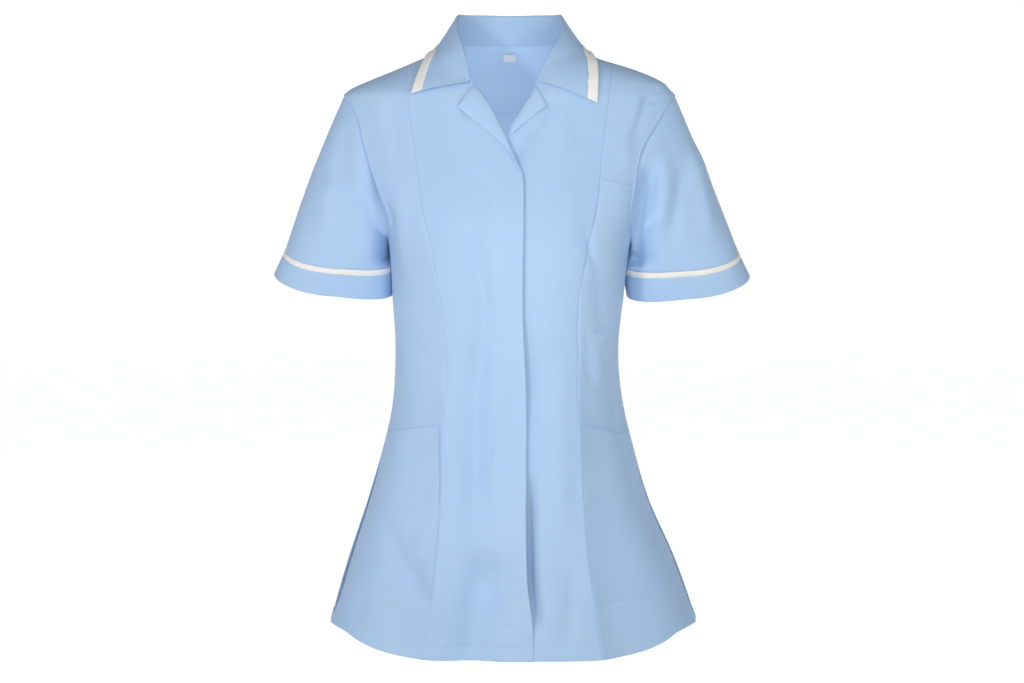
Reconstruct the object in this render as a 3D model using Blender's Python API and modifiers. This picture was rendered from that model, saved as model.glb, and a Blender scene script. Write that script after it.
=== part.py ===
"""A short-sleeved tunic with a revere collar, filled out as if worn, with every cut piece as its own solid.

Run with blender --background --python part.py. Metres, +Z up. The front faces -Y, and +X is the wearer's
left. The origin is the middle of the neck, level with the seam that joins the collar to the back.
"""

import math
from collections import namedtuple

import bmesh
import bpy
from mathutils import Vector

# Sizes are in millimetres, and MM turns them into Blender's metres.
MM = 0.001
CLOTH = 1.2
SMALL_CLOTH = 1.0
SEAM_GAP = 0.3
SHOULDER_TIP_DROP = 62.0
SHOULDER_TIP_REACH = 197.0
PRINCESS_DROP = 24.0
NECK_REACH = 65.0
UNDERARM = -230.0
VENT_TOP = -505.0
VENT_TURN = 4.0
YOKE_DROP = 82.0
BACK_FALL_OF_YOKE = 0.3
PRINCESS_BEND = 1.8
INNER_BEND = 1.6
SEAM_TURN = 0.1
FOLD_RADIUS = 2.6
TRIM_WIDTH = 12.0
CUFF_TRIM_SHARE = 0.2

# The right front stands out over the left one, which lies in under it. Both ease in over this width from
# this far beside the middle, and over this drop from the neck.
OVERLAP_LIFT = 3.0
UNDERLAP_SINK = 2.0
OVERLAP_EASE_FROM = 45.0
OVERLAP_EASE_WIDTH = 60.0
OVERLAP_EASE_DROP = 90.0

# A sleeve's edge stands this far outside the armhole, and twice as far at the underarm. Below this height
# the sleeve keeps this clear of the body. The collar's stand starts this far above the neck seam.
SLEEVE_SEAM_GAP = 0.9
SLEEVE_CLEARANCE = 2.1
SLEEVE_CLEARED_BELOW = UNDERARM + 8.0
COLLAR_SEAM_GAP = 1.5

# Steps from the shoulder to the underarm, from there to the hem, and across the pieces.
ARMHOLE_STEPS = 10
SKIRT_STEPS = 14
PANEL_COLUMNS = 6
BACK_COLUMNS = 16
YOKE_ROWS = 6
SLEEVE_ROWS = 6
COLLAR_COLUMNS = 28
CUFF_ROWS = 2
POCKET_ROWS = 6
REVERE_COLUMNS = 4
REVERE_ROWS_A_STEP = 2

# A search by halves takes this many steps, and a place that settles by repeating takes this many rounds.
HALVINGS = 30
ROUNDS = 3
SLOPE_STEP = 0.5
WELD = 0.01

SKY_BLUE = (0.44, 0.62, 0.84)
OFF_WHITE = (0.78, 0.78, 0.76)
CLOTH_ROUGHNESS = 0.85

# The level sections of the body, each one blunt oval: front and back halves have their own depth and
# squareness. centre_y is where they meet at the side, and sway is the small lean of the skirt.
Section = namedtuple(
    "Section",
    "height half_width front_depth back_depth centre_y sway front_square back_square",
)
SECTIONS = (
    Section(0, 65, 38, 66, 0, 0, 2.0, 2.0),
    Section(-17, 103, 45, 72, 0, 1, 2.0, 2.0),
    Section(-31, 142, 52, 78, 0, 7, 2.05, 2.0),
    Section(-45, 175.5, 60, 84, 0, 6, 2.1, 2.05),
    Section(-54, 190, 65, 88, 0, 1, 2.1, 2.1),
    Section(-62, 197, 69, 91, 1, 0, 2.15, 2.1),
    Section(-90, 200, 79, 97, 3, 0, 2.2, 2.15),
    Section(-120, 194, 90, 101, 5, 0, 2.3, 2.2),
    Section(-160, 178, 105, 105, 6, 0, 2.4, 2.2),
    Section(-200, 158, 118, 106, 6, 0, 2.5, 2.2),
    Section(-230, 146, 123, 105, 5, 0, 2.55, 2.2),
    Section(-268, 141, 123, 100, 4, -1, 2.6, 2.2),
    Section(-305, 138, 118, 95, 2, -2, 2.6, 2.2),
    Section(-350, 134, 111, 90, 0, -3, 2.6, 2.2),
    Section(-390, 134.5, 108, 90, 0, -3, 2.6, 2.2),
    Section(-430, 138.5, 109, 97, 0, -2, 2.6, 2.2),
    Section(-473, 148, 114, 108, 2, -1.5, 2.6, 2.2),
    Section(-545, 169, 123, 120, 4, -1.5, 2.6, 2.2),
    Section(-620, 198, 131, 130, 6, 2.5, 2.6, 2.2),
    Section(-700, 224, 138, 138, 8, 5, 2.6, 2.2),
    Section(-740, 236, 141, 141, 8, 6, 2.6, 2.2),
)

# The princess seams, by height: how far each lies from the middle, on the wearer's right and left.
Princess = namedtuple("Princess", "height right left")
PRINCESS_SEAMS = (
    Princess(-24, 123, 123),
    Princess(-80, 118, 115.5),
    Princess(-140, 109, 108),
    Princess(-195, 102, 101.5),
    Princess(-230, 94, 93.5),
    Princess(-300, 80.5, 81),
    Princess(-370, 74, 80.5),
    Princess(-420, 76, 80.5),
    Princess(-450, 80, 84),
    Princess(-530, 81, 87),
    Princess(-605, 86, 93),
    Princess(-650, 91, 99.5),
    Princess(-740, 99, 113),
)

# The inner edge of each front, by height: neck seam, then roll line, then the closing edge. x is +X.
# The wearer's right front lies on top, and the left front runs on beneath it.
InnerEdge = namedtuple("InnerEdge", "height right left")
INNER_EDGES = (
    InnerEdge(0, -65, 65),
    InnerEdge(-7, -63, 62),
    InnerEdge(-21, -58, 54.5),
    InnerEdge(-40, -50, 41),
    InnerEdge(-50, -42.5, 31.5),
    InnerEdge(-63, -31, 24),
    InnerEdge(-90, -15, 5.5),
    InnerEdge(-107, -4.5, -2),
    InnerEdge(-125, 3, -6),
    InnerEdge(-151, 13.5, -12),
    InnerEdge(-175, 15.5, -14),
    InnerEdge(-310, 14.5, -14),
    InnerEdge(-415, 18.5, -13),
    InnerEdge(-604, 20, -12),
    InnerEdge(-740, 27, -10),
)

# Each armhole, from the shoulder tip (fall 0) to the underarm (fall 1): how far round from the middle of
# the front or the back its edge lies, in degrees. 90 is the side.
Armhole = namedtuple("Armhole", "fall front_right front_left back")
ARMHOLES = (
    Armhole(0.0, 90, 90, 90),
    Armhole(0.1, 77, 77, 77.5),
    Armhole(0.2, 66, 66, 68),
    Armhole(0.3, 60.7, 58.5, 63.5),
    Armhole(0.4, 59.8, 52, 62),
    Armhole(0.5, 60, 51.5, 61.5),
    Armhole(0.6, 61, 55, 62.5),
    Armhole(0.7, 62.5, 60, 65),
    Armhole(0.8, 67, 66.5, 70),
    Armhole(0.9, 77, 77, 79),
    Armhole(1.0, 90, 90, 90),
)

# The hem's height, by how far round from the middle of the front or the back, in degrees.
Hem = namedtuple("Hem", "turn height")
HEM_LINE = (
    Hem(0, -719),
    Hem(20, -719),
    Hem(30, -716),
    Hem(40, -711),
    Hem(50, -704),
    Hem(62, -695),
    Hem(75, -693),
    Hem(90, -695),
)

# The rings that end the sleeve and the cuff, for the wearer's right: the middle, then the way to the
# outer end (reach and rise) and the way to the front (depth and dip). The left ones are shifted, and reach
# further in by left_inwards, so that both sleeves rest against the body.
Ring = namedtuple("Ring", "x y z reach rise depth dip left_inwards")
TRIM_RING = Ring(207, 17, -253, 62.5, 8, 52, 13, 8)
CUFF_RING = Ring(215.5, 23, -286, 68.5, 12, 51, 13.5, 4)
LEFT_SLEEVE_SHIFT = Vector((6, 0, -3))
SLEEVE_INNER_BULGE = 3.0
RIGHT_OUTER_BULGE = 3.5
LEFT_OUTER_BULGE = 1.0

# Half of the collar, from the notch to the middle of the back. The seam lies on the body's neck edge, at
# this height in front of the shoulder and this turn behind it. Fold and edge are points for the wearer's
# right, with +X outwards. drop lowers the left leaf's edge, and skew draws both leaves' points to -X.
Collar = namedtuple(
    "Collar",
    "seam_height seam_turn fold_x fold_y fold_z edge_x edge_y edge_z drop skew",
)
COLLAR_SECTIONS = (
    Collar(-50, None, 39, -62, -44, 107.5, -60, -60, 12, 6.5),
    Collar(-40, None, 44.5, -53, -28, 105, -49, -48, 9, 4.5),
    Collar(-21, None, 51, -41, -9, 102, -35, -33, 5, 2),
    Collar(-7, None, 58, -25, 6, 98, -18, -20, 2, 0),
    Collar(0, 90, 61.5, 0, 22, 94, 3, -12, 0, -0.5),
    Collar(0, 67.5, 60, 26, 34.5, 89, 28, -14, 0, 0),
    Collar(0, 45, 52, 50, 36, 80, 53, -18, 0, -1),
    Collar(0, 22.5, 29, 66, 36.5, 45, 74, -23, 0, -1.5),
    Collar(0, 0, 0, 71, 36, 0, 81, -25, 0, -2),
)

# The turned-back reveres, from the notch down to the foot of the V: the roll line and the loose edge.
Revere = namedtuple("Revere", "roll_x roll_z edge_x edge_z")
RIGHT_REVERE = (
    Revere(-43, -50, -60, -75.5),
    Revere(-33, -61, -46, -87),
    Revere(-22.5, -77, -32, -98),
    Revere(-14, -92, -18, -110),
    Revere(-6.5, -105, -7.5, -119),
    Revere(2, -125, 3, -132),
    Revere(11, -146, 12, -149),
)
LEFT_REVERE = (
    Revere(31, -51, 42.5, -74.5),
    Revere(26, -61, 33, -82),
    Revere(17, -75, 22, -91),
    Revere(9, -87, 12.5, -99),
    Revere(2.5, -97, 6, -105),
    Revere(0, -104, 2, -108.5),
)

# The collar's profile: how far up the stand its middle point lies, the angles of the fold and the shares
# of the way down the leaf.
STAND_SHARE = 0.55
FOLD_ANGLES = (45, 90, 135, 180)
LEAF_SHARES = (0.25, 0.5, 0.75, 1.0)
LEAF_BULGE = 1.5
LEAF_CLEARANCE = 3.8
REVERE_LIFT = 2.6
REVERE_ROLL = 1.2

# Patch pockets on the side-front panels, each from the princess seam outwards: heights at its inner and
# outer ends, and how much of the panel's width it takes at its top and its foot.
Pocket = namedtuple("Pocket", "name side top_in top_out foot_in foot_out top_share foot_share")
POCKETS = (
    Pocket("breast_pocket", 1, -161, -169, -284, -284, 0.88, 0.62),
    Pocket("hip_pocket_right", -1, -446, -462, -650, -634, 0.93, 0.93),
    Pocket("hip_pocket_left", 1, -446, -464, -655, -637, 0.93, 0.93),
)
POCKET_INSET = 0.03

# What is sewn on a panel lies this far outside the panel's middle surface.
PATCH_LIFT = 2.2

LABEL_WIDTH = 15.0
LABEL_TOP = -10.5
LABEL_FOOT = -19.5
LABEL_LIFT = 2.8


def clear_scene():
    for old in list(bpy.data.objects):
        bpy.data.objects.remove(old, do_unlink=True)


def mix(a, b, share):
    return a + (b - a) * share


def ease(share):
    share = min(1.0, max(0.0, share))
    return share * share * (3 - 2 * share)


def through(table, key, column, at):
    """The column's value where key is at: a smooth curve through the table's rows, in order of key."""
    keys = [getattr(row, key) for row in table]
    values = [getattr(row, column) for row in table]
    if keys[0] > keys[-1]:
        keys = [-k for k in keys]
        at = -at
    at = min(keys[-1], max(keys[0], at))
    last = len(keys) - 1
    k = 0
    while k < last - 1 and keys[k + 1] < at:
        k += 1

    def slope(i):
        before = max(0, i - 1)
        after = min(last, i + 1)
        return (values[after] - values[before]) / (keys[after] - keys[before])

    span = keys[k + 1] - keys[k]
    s = (at - keys[k]) / span
    rise = 3 * s**2 - 2 * s**3
    start = (s**3 - 2 * s**2 + s) * span * slope(k)
    end = (s**3 - s**2) * span * slope(k + 1)
    return mix(values[k], values[k + 1], rise) + start + end


def section(column, height):
    return through(SECTIONS, "height", column, height)


# --- The body's form -------------------------------------------------------------------------------


def on_body(half, turn, height):
    """The point this many degrees round from the middle of the front or back half, at this height."""
    square = section(f"{half}_square", height)
    radians = math.radians(min(90.0, abs(turn)))
    across = section("half_width", height) * math.sin(radians) ** (2 / square)
    depth = section(f"{half}_depth", height) * max(0.0, math.cos(radians)) ** (2 / square)
    depth = max(depth, SEAM_GAP / 2)
    if half == "front":
        depth = -depth
    x = section("sway", height) + math.copysign(across, turn)
    return Vector((x, section("centre_y", height) + depth, height))


def on_front(turn, height):
    return on_body("front", turn, height)


def on_back(turn, height):
    return on_body("back", turn, height)


def turn_at(x, height, square="front_square"):
    """How far round, in degrees, the body's surface is at this x."""
    off = x - section("sway", height)
    share = min(1.0, abs(off) / section("half_width", height))
    turn = math.degrees(math.asin(share ** (section(square, height) / 2)))
    return math.copysign(turn, off)


def front_y(x, height):
    return on_front(turn_at(x, height), height).y


def back_y(x, height):
    return on_back(turn_at(x, height, "back_square"), height).y


def outside(point):
    """Above 0 where the point is outside the body's section at its height, and below 0 inside it."""
    off = abs(point.x - section("sway", point.z)) / section("half_width", point.z)
    deep = point.y - section("centre_y", point.z)
    half = "front" if deep < 0 else "back"
    square = section(f"{half}_square", point.z)
    return off**square + (abs(deep) / section(f"{half}_depth", point.z)) ** square - 1


def top_of_form(x, y):
    """The height of the shoulders at this place, seen from above."""
    low = -2 * SHOULDER_TIP_DROP
    high = 0.0
    for _ in range(HALVINGS):
        middle = (low + high) / 2
        if outside(Vector((x, y, middle))) < 0:
            low = middle
        else:
            high = middle
    return low


# --- The seams. fall runs from 0 at the shoulder through 1 at the underarm to 2 at the hem ----------


def hem_height(turn):
    return through(HEM_LINE, "turn", "height", abs(turn))


def fall_at(row):
    """The fall at this row of the panels."""
    if row <= ARMHOLE_STEPS:
        return row / ARMHOLE_STEPS
    return 1 + (row - ARMHOLE_STEPS) / SKIRT_STEPS


def skirt_height(fall, turn):
    """The height at this turn, where fall is from 1 at the underarm's level to 2 at the hem."""
    return mix(UNDERARM, hem_height(turn), fall - 1)


def side_seam(fall, side, half):
    """Turn and height of the armhole's edge down to the underarm, and then of the side seam and vent."""
    if fall <= 1:
        share = (1 - math.cos(math.pi * fall)) / 2
        height = mix(-SHOULDER_TIP_DROP, UNDERARM, share)
        column = "back"
        if half == "front":
            column = "front_left" if side > 0 else "front_right"
        return through(ARMHOLES, "fall", column, fall), height
    height = skirt_height(fall, 90)
    if half == "back":
        return 90.0, height
    open_share = ease((VENT_TOP - height) / (VENT_TOP - hem_height(90)))
    turn = 90.0 - VENT_TURN * open_share
    return turn, skirt_height(fall, turn)


def princess_seam(fall, side):
    column = "left" if side > 0 else "right"
    height = mix(-PRINCESS_DROP, UNDERARM, min(1, fall) ** PRINCESS_BEND)
    turn = 0.0
    for _ in range(ROUNDS):
        if fall > 1:
            height = skirt_height(fall, turn)
        turn = abs(turn_at(side * through(PRINCESS_SEAMS, "height", column, height), height))
    if fall == 0:
        turn = 90.0
    return turn, height


def inner_edge(fall, side):
    """Signed turn and height of the front's inner edge: neck seam, roll line, closing edge."""
    height = mix(0.0, UNDERARM, fall**INNER_BEND) if fall <= 1 else skirt_height(fall, 0)
    x = through(INNER_EDGES, "height", "left" if side > 0 else "right", height)
    return turn_at(x, height), height


def overlap_move(x, side, height):
    """How far a front stands out, or lies in, where the right front covers the left."""
    down = ease(-height / OVERLAP_EASE_DROP)
    across = ease((OVERLAP_EASE_FROM - side * x) / OVERLAP_EASE_WIDTH)
    if side < 0:
        return OVERLAP_LIFT * across * down
    return -UNDERLAP_SINK * across * down


# --- Where each panel's points lie. u runs across and v down, both from 0 to 1 ----------------------

def front_centre(side):
    rows = ARMHOLE_STEPS + SKIRT_STEPS

    def place(u, v):
        fall = fall_at(v * rows)
        inner_turn, inner_height = inner_edge(fall, side)
        outer_turn, outer_height = princess_seam(fall, side)
        outer_turn = side * (outer_turn - SEAM_TURN)
        turn = mix(inner_turn, outer_turn, u)
        height = mix(inner_height, outer_height, u)
        if fall > 1:
            height = skirt_height(fall, turn)
        point = on_front(turn, height)
        point.y -= overlap_move(point.x, side, height)
        return point

    return place


def front_side(side):
    rows = ARMHOLE_STEPS + SKIRT_STEPS

    def place(u, v):
        fall = fall_at(v * rows)
        inner_turn, inner_height = princess_seam(fall, side)
        outer_turn, outer_height = side_seam(fall, side, "front")
        inner_turn = min(90.0, inner_turn + SEAM_TURN)
        if fall == 0:
            inner_height -= SEAM_GAP
        turn = mix(inner_turn, outer_turn, u)
        height = mix(inner_height, outer_height, u)
        if fall > 1:
            height = skirt_height(fall, turn)
        return on_front(side * turn, height)

    return place


def yoke_seam_height(share):
    return mix(-YOKE_DROP, side_seam(BACK_FALL_OF_YOKE, 1, "back")[1], share**2)


def back_yoke(u, v):
    """Ridge and back neck above, yoke seam below, armholes at the ends."""
    share = abs(2 * u - 1)
    side = math.copysign(1.0, 2 * u - 1)
    if v == 0 and share <= 0.5:
        return on_back(side * 180 * share, 0.0)
    arm_turn, arm_height = side_seam(BACK_FALL_OF_YOKE * v, side, "back")
    foot_height = side_seam(BACK_FALL_OF_YOKE, side, "back")[1]
    top_x = NECK_REACH * math.sin(math.pi * share)
    top = 0.0
    if share > 0.5:
        top_x = mix(NECK_REACH, SHOULDER_TIP_REACH, math.sin(math.pi * (share - 0.5)))
        top = top_of_form(side * top_x, 0.0)
    by_arm = (arm_height + SHOULDER_TIP_DROP) / (foot_height + SHOULDER_TIP_DROP)
    drop = mix(v, by_arm, ease(2 * share))
    height = mix(top, yoke_seam_height(share) + SEAM_GAP / 2, drop)
    from_top = side * top_x * abs(on_back(side * arm_turn, arm_height).x) / SHOULDER_TIP_REACH
    x = mix(from_top, on_back(side * share * arm_turn, height).x, v)
    return Vector((x, max(back_y(x, height), SEAM_GAP / 2), height))


def back_panel(u, v):
    share = 2 * u - 1
    first = BACK_FALL_OF_YOKE * ARMHOLE_STEPS
    fall = fall_at(mix(first, ARMHOLE_STEPS + SKIRT_STEPS, v))
    outer_turn, outer_height = side_seam(fall, 1, "back")
    down = (fall - BACK_FALL_OF_YOKE) / (1 - BACK_FALL_OF_YOKE)
    middle = mix(-YOKE_DROP, UNDERARM, down)
    height = mix(middle, outer_height, share**2)
    if fall > 1:
        height = skirt_height(fall, outer_turn * share)
    if v == 0:
        height -= SEAM_GAP / 2
    return on_back(outer_turn * share, height)


def ring_point(ring, side, around):
    """The point of a sleeve ring: around is 0 at the outer end, 0.5 at the inner end, by the front."""
    angle = 2 * math.pi * around
    point = Vector((side * ring.x, ring.y, ring.z))
    reach = ring.reach
    if side > 0 and math.cos(angle) < 0:
        reach += ring.left_inwards
    point += math.cos(angle) * Vector((side * reach, 0, ring.rise))
    point += math.sin(angle) * Vector((0, -ring.depth, -ring.dip))
    if side > 0:
        point += LEFT_SLEEVE_SHIFT
    return point


def armhole_point(side, around):
    """The armhole's edge, as ring_point counts it: down the front to the underarm, and up the back."""
    half = "front" if around <= 0.5 else "back"
    fall = 2 * around if around <= 0.5 else 2 - 2 * around
    turn, height = side_seam(fall, side, half)
    point = on_front(side * turn, height) if half == "front" else on_back(side * turn, height)
    if turn >= 90:
        point.y = section("centre_y", height)
    point.x += side * SLEEVE_SEAM_GAP * (1 + ease(fall))
    return point


def clear_of_body(point, side):
    """The point, moved outwards if it is too close to the body's side below the armhole."""
    if point.z > SLEEVE_CLEARED_BELOW:
        return point
    centre = section("centre_y", point.z)
    half = "front" if point.y < centre else "back"
    depth = section(f"{half}_depth", point.z)
    square = section(f"{half}_square", point.z)
    share = min(1.0, abs(point.y - centre) / depth)
    reach = section("half_width", point.z) * (1 - share**square) ** (1 / square)
    least = reach + side * section("sway", point.z) + SLEEVE_CLEARANCE
    if side * point.x < least:
        point.x = side * least
    return point


def sleeve(side):
    outer_bulge = LEFT_OUTER_BULGE if side > 0 else RIGHT_OUTER_BULGE

    def place(u, v):
        start = armhole_point(side, u)
        end = ring_point(TRIM_RING, side, u)
        inner = (1 - math.cos(2 * math.pi * u)) / 2
        point = start.lerp(end, v)
        bulge = mix(outer_bulge, SLEEVE_INNER_BULGE, inner) * math.sin(math.pi * v)
        point.x += side * bulge
        return clear_of_body(point, side)

    return place


def cuff_band(side, first, last):
    """A band of the tube between the trim's ring and the cuff's ring, from one share of it to another."""

    def place(u, v):
        start = ring_point(TRIM_RING, side, u)
        end = ring_point(CUFF_RING, side, u)
        gap = SEAM_GAP / (start - end).length
        point = start.lerp(end, mix(first + gap, last, v))
        return clear_of_body(point, side)

    return place


def neck_seam_point(row, side):
    if row.seam_turn is not None:
        return on_back(side * row.seam_turn, 0.0)
    x = through(INNER_EDGES, "height", "left" if side > 0 else "right", row.seam_height)
    return Vector((x, front_y(x, row.seam_height), row.seam_height))


def off_the_body(point, clearance):
    """The point, moved along the form's slope until it is this clear of the body."""
    for _ in range(ROUNDS):
        if point.z > 0:
            break
        steps = (
            Vector((SLOPE_STEP, 0, 0)),
            Vector((0, SLOPE_STEP, 0)),
            Vector((0, 0, SLOPE_STEP)),
        )
        slope = Vector([outside(point + step) - outside(point - step) for step in steps])
        distance = outside(point) / slope.length
        if distance >= clearance:
            break
        point = point + slope.normalized() * (clearance - distance)
    return point


def collar_points(row, side):
    """The collar's section at this row: up the stand, over the fold and down the leaf to its edge."""
    seam = neck_seam_point(row, side)
    skew = Vector((-row.skew, 0, 0))
    fold = Vector((side * row.fold_x, row.fold_y, row.fold_z)) + skew
    edge = Vector((side * row.edge_x, row.edge_y, row.edge_z)) + skew
    if side > 0:
        edge.z -= row.drop
    up = (fold - seam).normalized()
    out = edge - fold
    out -= up * out.dot(up)
    out.normalize()
    inner = fold - up * FOLD_RADIUS
    centre = inner + out * FOLD_RADIUS
    points = [seam + up * COLLAR_SEAM_GAP, seam.lerp(inner, STAND_SHARE), inner]
    for angle in FOLD_ANGLES:
        radians = math.radians(angle)
        points.append(centre + FOLD_RADIUS * (up * math.sin(radians) - out * math.cos(radians)))
    outer = points[-1]
    for share in LEAF_SHARES:
        point = outer.lerp(edge, share)
        point.z += LEAF_BULGE * math.sin(math.pi * share)
        points.append(off_the_body(point, LEAF_CLEARANCE))
    return points


def collar_grid():
    """The sections from the right notch round the back to the left notch, as lists of points."""
    right = [collar_points(row, -1) for row in COLLAR_SECTIONS]
    left = [collar_points(row, 1) for row in COLLAR_SECTIONS[:-1]]
    return right + left[::-1]


def along(points, share):
    """A point at this share of the way along a list of points, on a smooth curve through them."""
    last = len(points) - 1
    k = min(last - 1, int(share * last))
    s = share * last - k
    before = points[max(0, k - 1)]
    after = points[min(last, k + 2)]
    start = (points[k + 1] - before) / (2 if k > 0 else 1)
    end = (after - points[k]) / (2 if k < last - 1 else 1)
    rise = 3 * s**2 - 2 * s**3
    bend = start * (s**3 - 2 * s**2 + s) + end * (s**3 - s**2)
    return points[k].lerp(points[k + 1], rise) + bend


def collar_place(grid):
    steps = len(grid[0]) - 1

    def place(u, v):
        level = v * steps
        k = min(steps - 1, int(level))
        upper = along([points[k] for points in grid], u)
        lower = along([points[k + 1] for points in grid], u)
        return upper.lerp(lower, level - k)

    return place


def collar_trim_place(grid):
    """A strip on the leaf's outer edge."""

    def place(u, v):
        edge = along([points[-1] for points in grid], u)
        inner = along([points[-3] for points in grid], u)
        return edge.lerp(inner, TRIM_WIDTH / (edge - inner).length * (1 - v))

    return place


def revere_place(rows, side):
    def place(u, v):
        at = v * (len(rows) - 1)
        k = min(len(rows) - 2, int(at))
        s = at - k
        roll_x = mix(rows[k].roll_x, rows[k + 1].roll_x, s)
        roll_z = mix(rows[k].roll_z, rows[k + 1].roll_z, s)
        edge_x = mix(rows[k].edge_x, rows[k + 1].edge_x, s)
        edge_z = mix(rows[k].edge_z, rows[k + 1].edge_z, s)
        x = mix(roll_x, edge_x, u)
        z = mix(roll_z, edge_z, u)
        out = REVERE_LIFT + REVERE_ROLL * math.sin(math.pi * u)
        if side < 0:
            out += overlap_move(x, side, z)
        return Vector((x, front_y(x, z) - out, z))

    return place


def pocket_place(pocket):
    """The side panel's own points between the pocket's heights, seam to seam."""
    panel = front_side(pocket.side)

    def row_at(u, height):
        low = 0.0
        high = 1.0
        for _ in range(HALVINGS):
            middle = (low + high) / 2
            if panel(u, middle).z > height:
                low = middle
            else:
                high = middle
        return (low + high) / 2

    def place(u, v):
        across = mix(POCKET_INSET, mix(pocket.top_share, pocket.foot_share, v), u)
        top = row_at(across, mix(pocket.top_in, pocket.top_out, u))
        foot = row_at(across, mix(pocket.foot_in, pocket.foot_out, u))
        return panel(across, mix(top, foot, v))

    return place


def label_place(u, v):
    x = LABEL_WIDTH * (u - 0.5)
    z = mix(LABEL_TOP, LABEL_FOOT, v)
    return Vector((x, back_y(x, z) - LABEL_LIFT, z))


def moved_out(place, distance):
    """The same points, moved this far along the surface's outward normal."""
    step = 0.001

    def moved(u, v):
        u0, u1 = max(0, u - step), min(1, u + step)
        v0, v1 = max(0, v - step), min(1, v + step)
        across = place(u1, v) - place(u0, v)
        down = place(u, v1) - place(u, v0)
        normal = across.cross(down).normalized()
        point = place(u, v)
        if normal.dot(Vector((point.x, point.y, 0))) < 0:
            normal = -normal
        return point + normal * distance

    return moved


# --- Building --------------------------------------------------------------------------------------


def material(name, colour):
    made = bpy.data.materials.new(name)
    made.use_nodes = True
    shader = made.node_tree.nodes["Principled BSDF"]
    shader.inputs["Base Color"].default_value = (*colour, 1.0)
    shader.inputs["Roughness"].default_value = CLOTH_ROUGHNESS
    shader.inputs["Metallic"].default_value = 0.0
    return made


def sheet(name, columns, rows, place, colour, collection, wall=CLOTH, tube=False):
    """One cut piece: a grid laid on the form by place, with its cloth's thickness half to each side."""
    bm = bmesh.new()
    bmesh.ops.create_grid(bm, x_segments=columns, y_segments=rows, size=0.5)
    for vertex in bm.verts:
        vertex.co = place(vertex.co.x + 0.5, 0.5 - vertex.co.y) * MM
    if tube:
        bmesh.ops.remove_doubles(bm, verts=bm.verts, dist=WELD * MM)
    bmesh.ops.recalc_face_normals(bm, faces=bm.faces)
    mesh = bpy.data.meshes.new(name)
    bm.to_mesh(mesh)
    bm.free()
    mesh.shade_smooth()
    mesh.materials.append(material(name, colour))
    piece = bpy.data.objects.new(name, mesh)
    collection.objects.link(piece)
    thick = piece.modifiers.new("thickness", "SOLIDIFY")
    thick.thickness = wall * MM
    thick.offset = 0.0
    return piece


def build():
    clear_scene()
    tunic = bpy.data.collections.new("revere_collar_tunic")
    bpy.context.scene.collection.children.link(tunic)
    rows = ARMHOLE_STEPS + SKIRT_STEPS
    for side, word in ((-1, "right"), (1, "left")):
        sheet(f"front_centre_{word}", PANEL_COLUMNS, rows, front_centre(side), SKY_BLUE, tunic)
        sheet(f"front_side_{word}", PANEL_COLUMNS, rows, front_side(side), SKY_BLUE, tunic)
        around = 2 * ARMHOLE_STEPS
        sheet(f"sleeve_{word}", around, SLEEVE_ROWS, sleeve(side), SKY_BLUE, tunic, tube=True)
        trim = cuff_band(side, 0.0, CUFF_TRIM_SHARE)
        sheet(f"cuff_trim_{word}", around, 1, trim, OFF_WHITE, tunic, tube=True)
        cuff = cuff_band(side, CUFF_TRIM_SHARE, 1.0)
        sheet(f"cuff_{word}", around, CUFF_ROWS, cuff, SKY_BLUE, tunic, tube=True)
    sheet("back_yoke", BACK_COLUMNS, YOKE_ROWS, back_yoke, SKY_BLUE, tunic)
    back_rows = rows - round(BACK_FALL_OF_YOKE * ARMHOLE_STEPS)
    sheet("back_panel", BACK_COLUMNS, back_rows, back_panel, SKY_BLUE, tunic)

    grid = collar_grid()
    sheet("collar", COLLAR_COLUMNS, len(grid[0]) - 1, collar_place(grid), SKY_BLUE, tunic)
    trim = moved_out(collar_trim_place(grid), PATCH_LIFT)
    sheet("collar_trim", COLLAR_COLUMNS, 1, trim, OFF_WHITE, tunic, SMALL_CLOTH)
    for word, side, table in (("right", -1, RIGHT_REVERE), ("left", 1, LEFT_REVERE)):
        long = REVERE_ROWS_A_STEP * (len(table) - 1)
        place = revere_place(table, side)
        sheet(f"revere_{word}", REVERE_COLUMNS, long, place, SKY_BLUE, tunic, SMALL_CLOTH)
    for pocket in POCKETS:
        place = moved_out(pocket_place(pocket), PATCH_LIFT)
        sheet(pocket.name, PANEL_COLUMNS, POCKET_ROWS, place, SKY_BLUE, tunic, SMALL_CLOTH)
    sheet("size_label", 1, 1, label_place, OFF_WHITE, tunic, SMALL_CLOTH)


build()
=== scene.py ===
# %% [markdown]
# # A revere collar tunic
# This is a short-sleeved work tunic, filled out as if someone wore it. A real one is about twenty flat pieces
# of cloth. Each is modelled here as a thin shell on the form that its solid has in the frame, so the frame
# is loaded first, and its box is kept to print beside the scene's own at the end.

# %% Load the frame
import math
from collections import namedtuple

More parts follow.
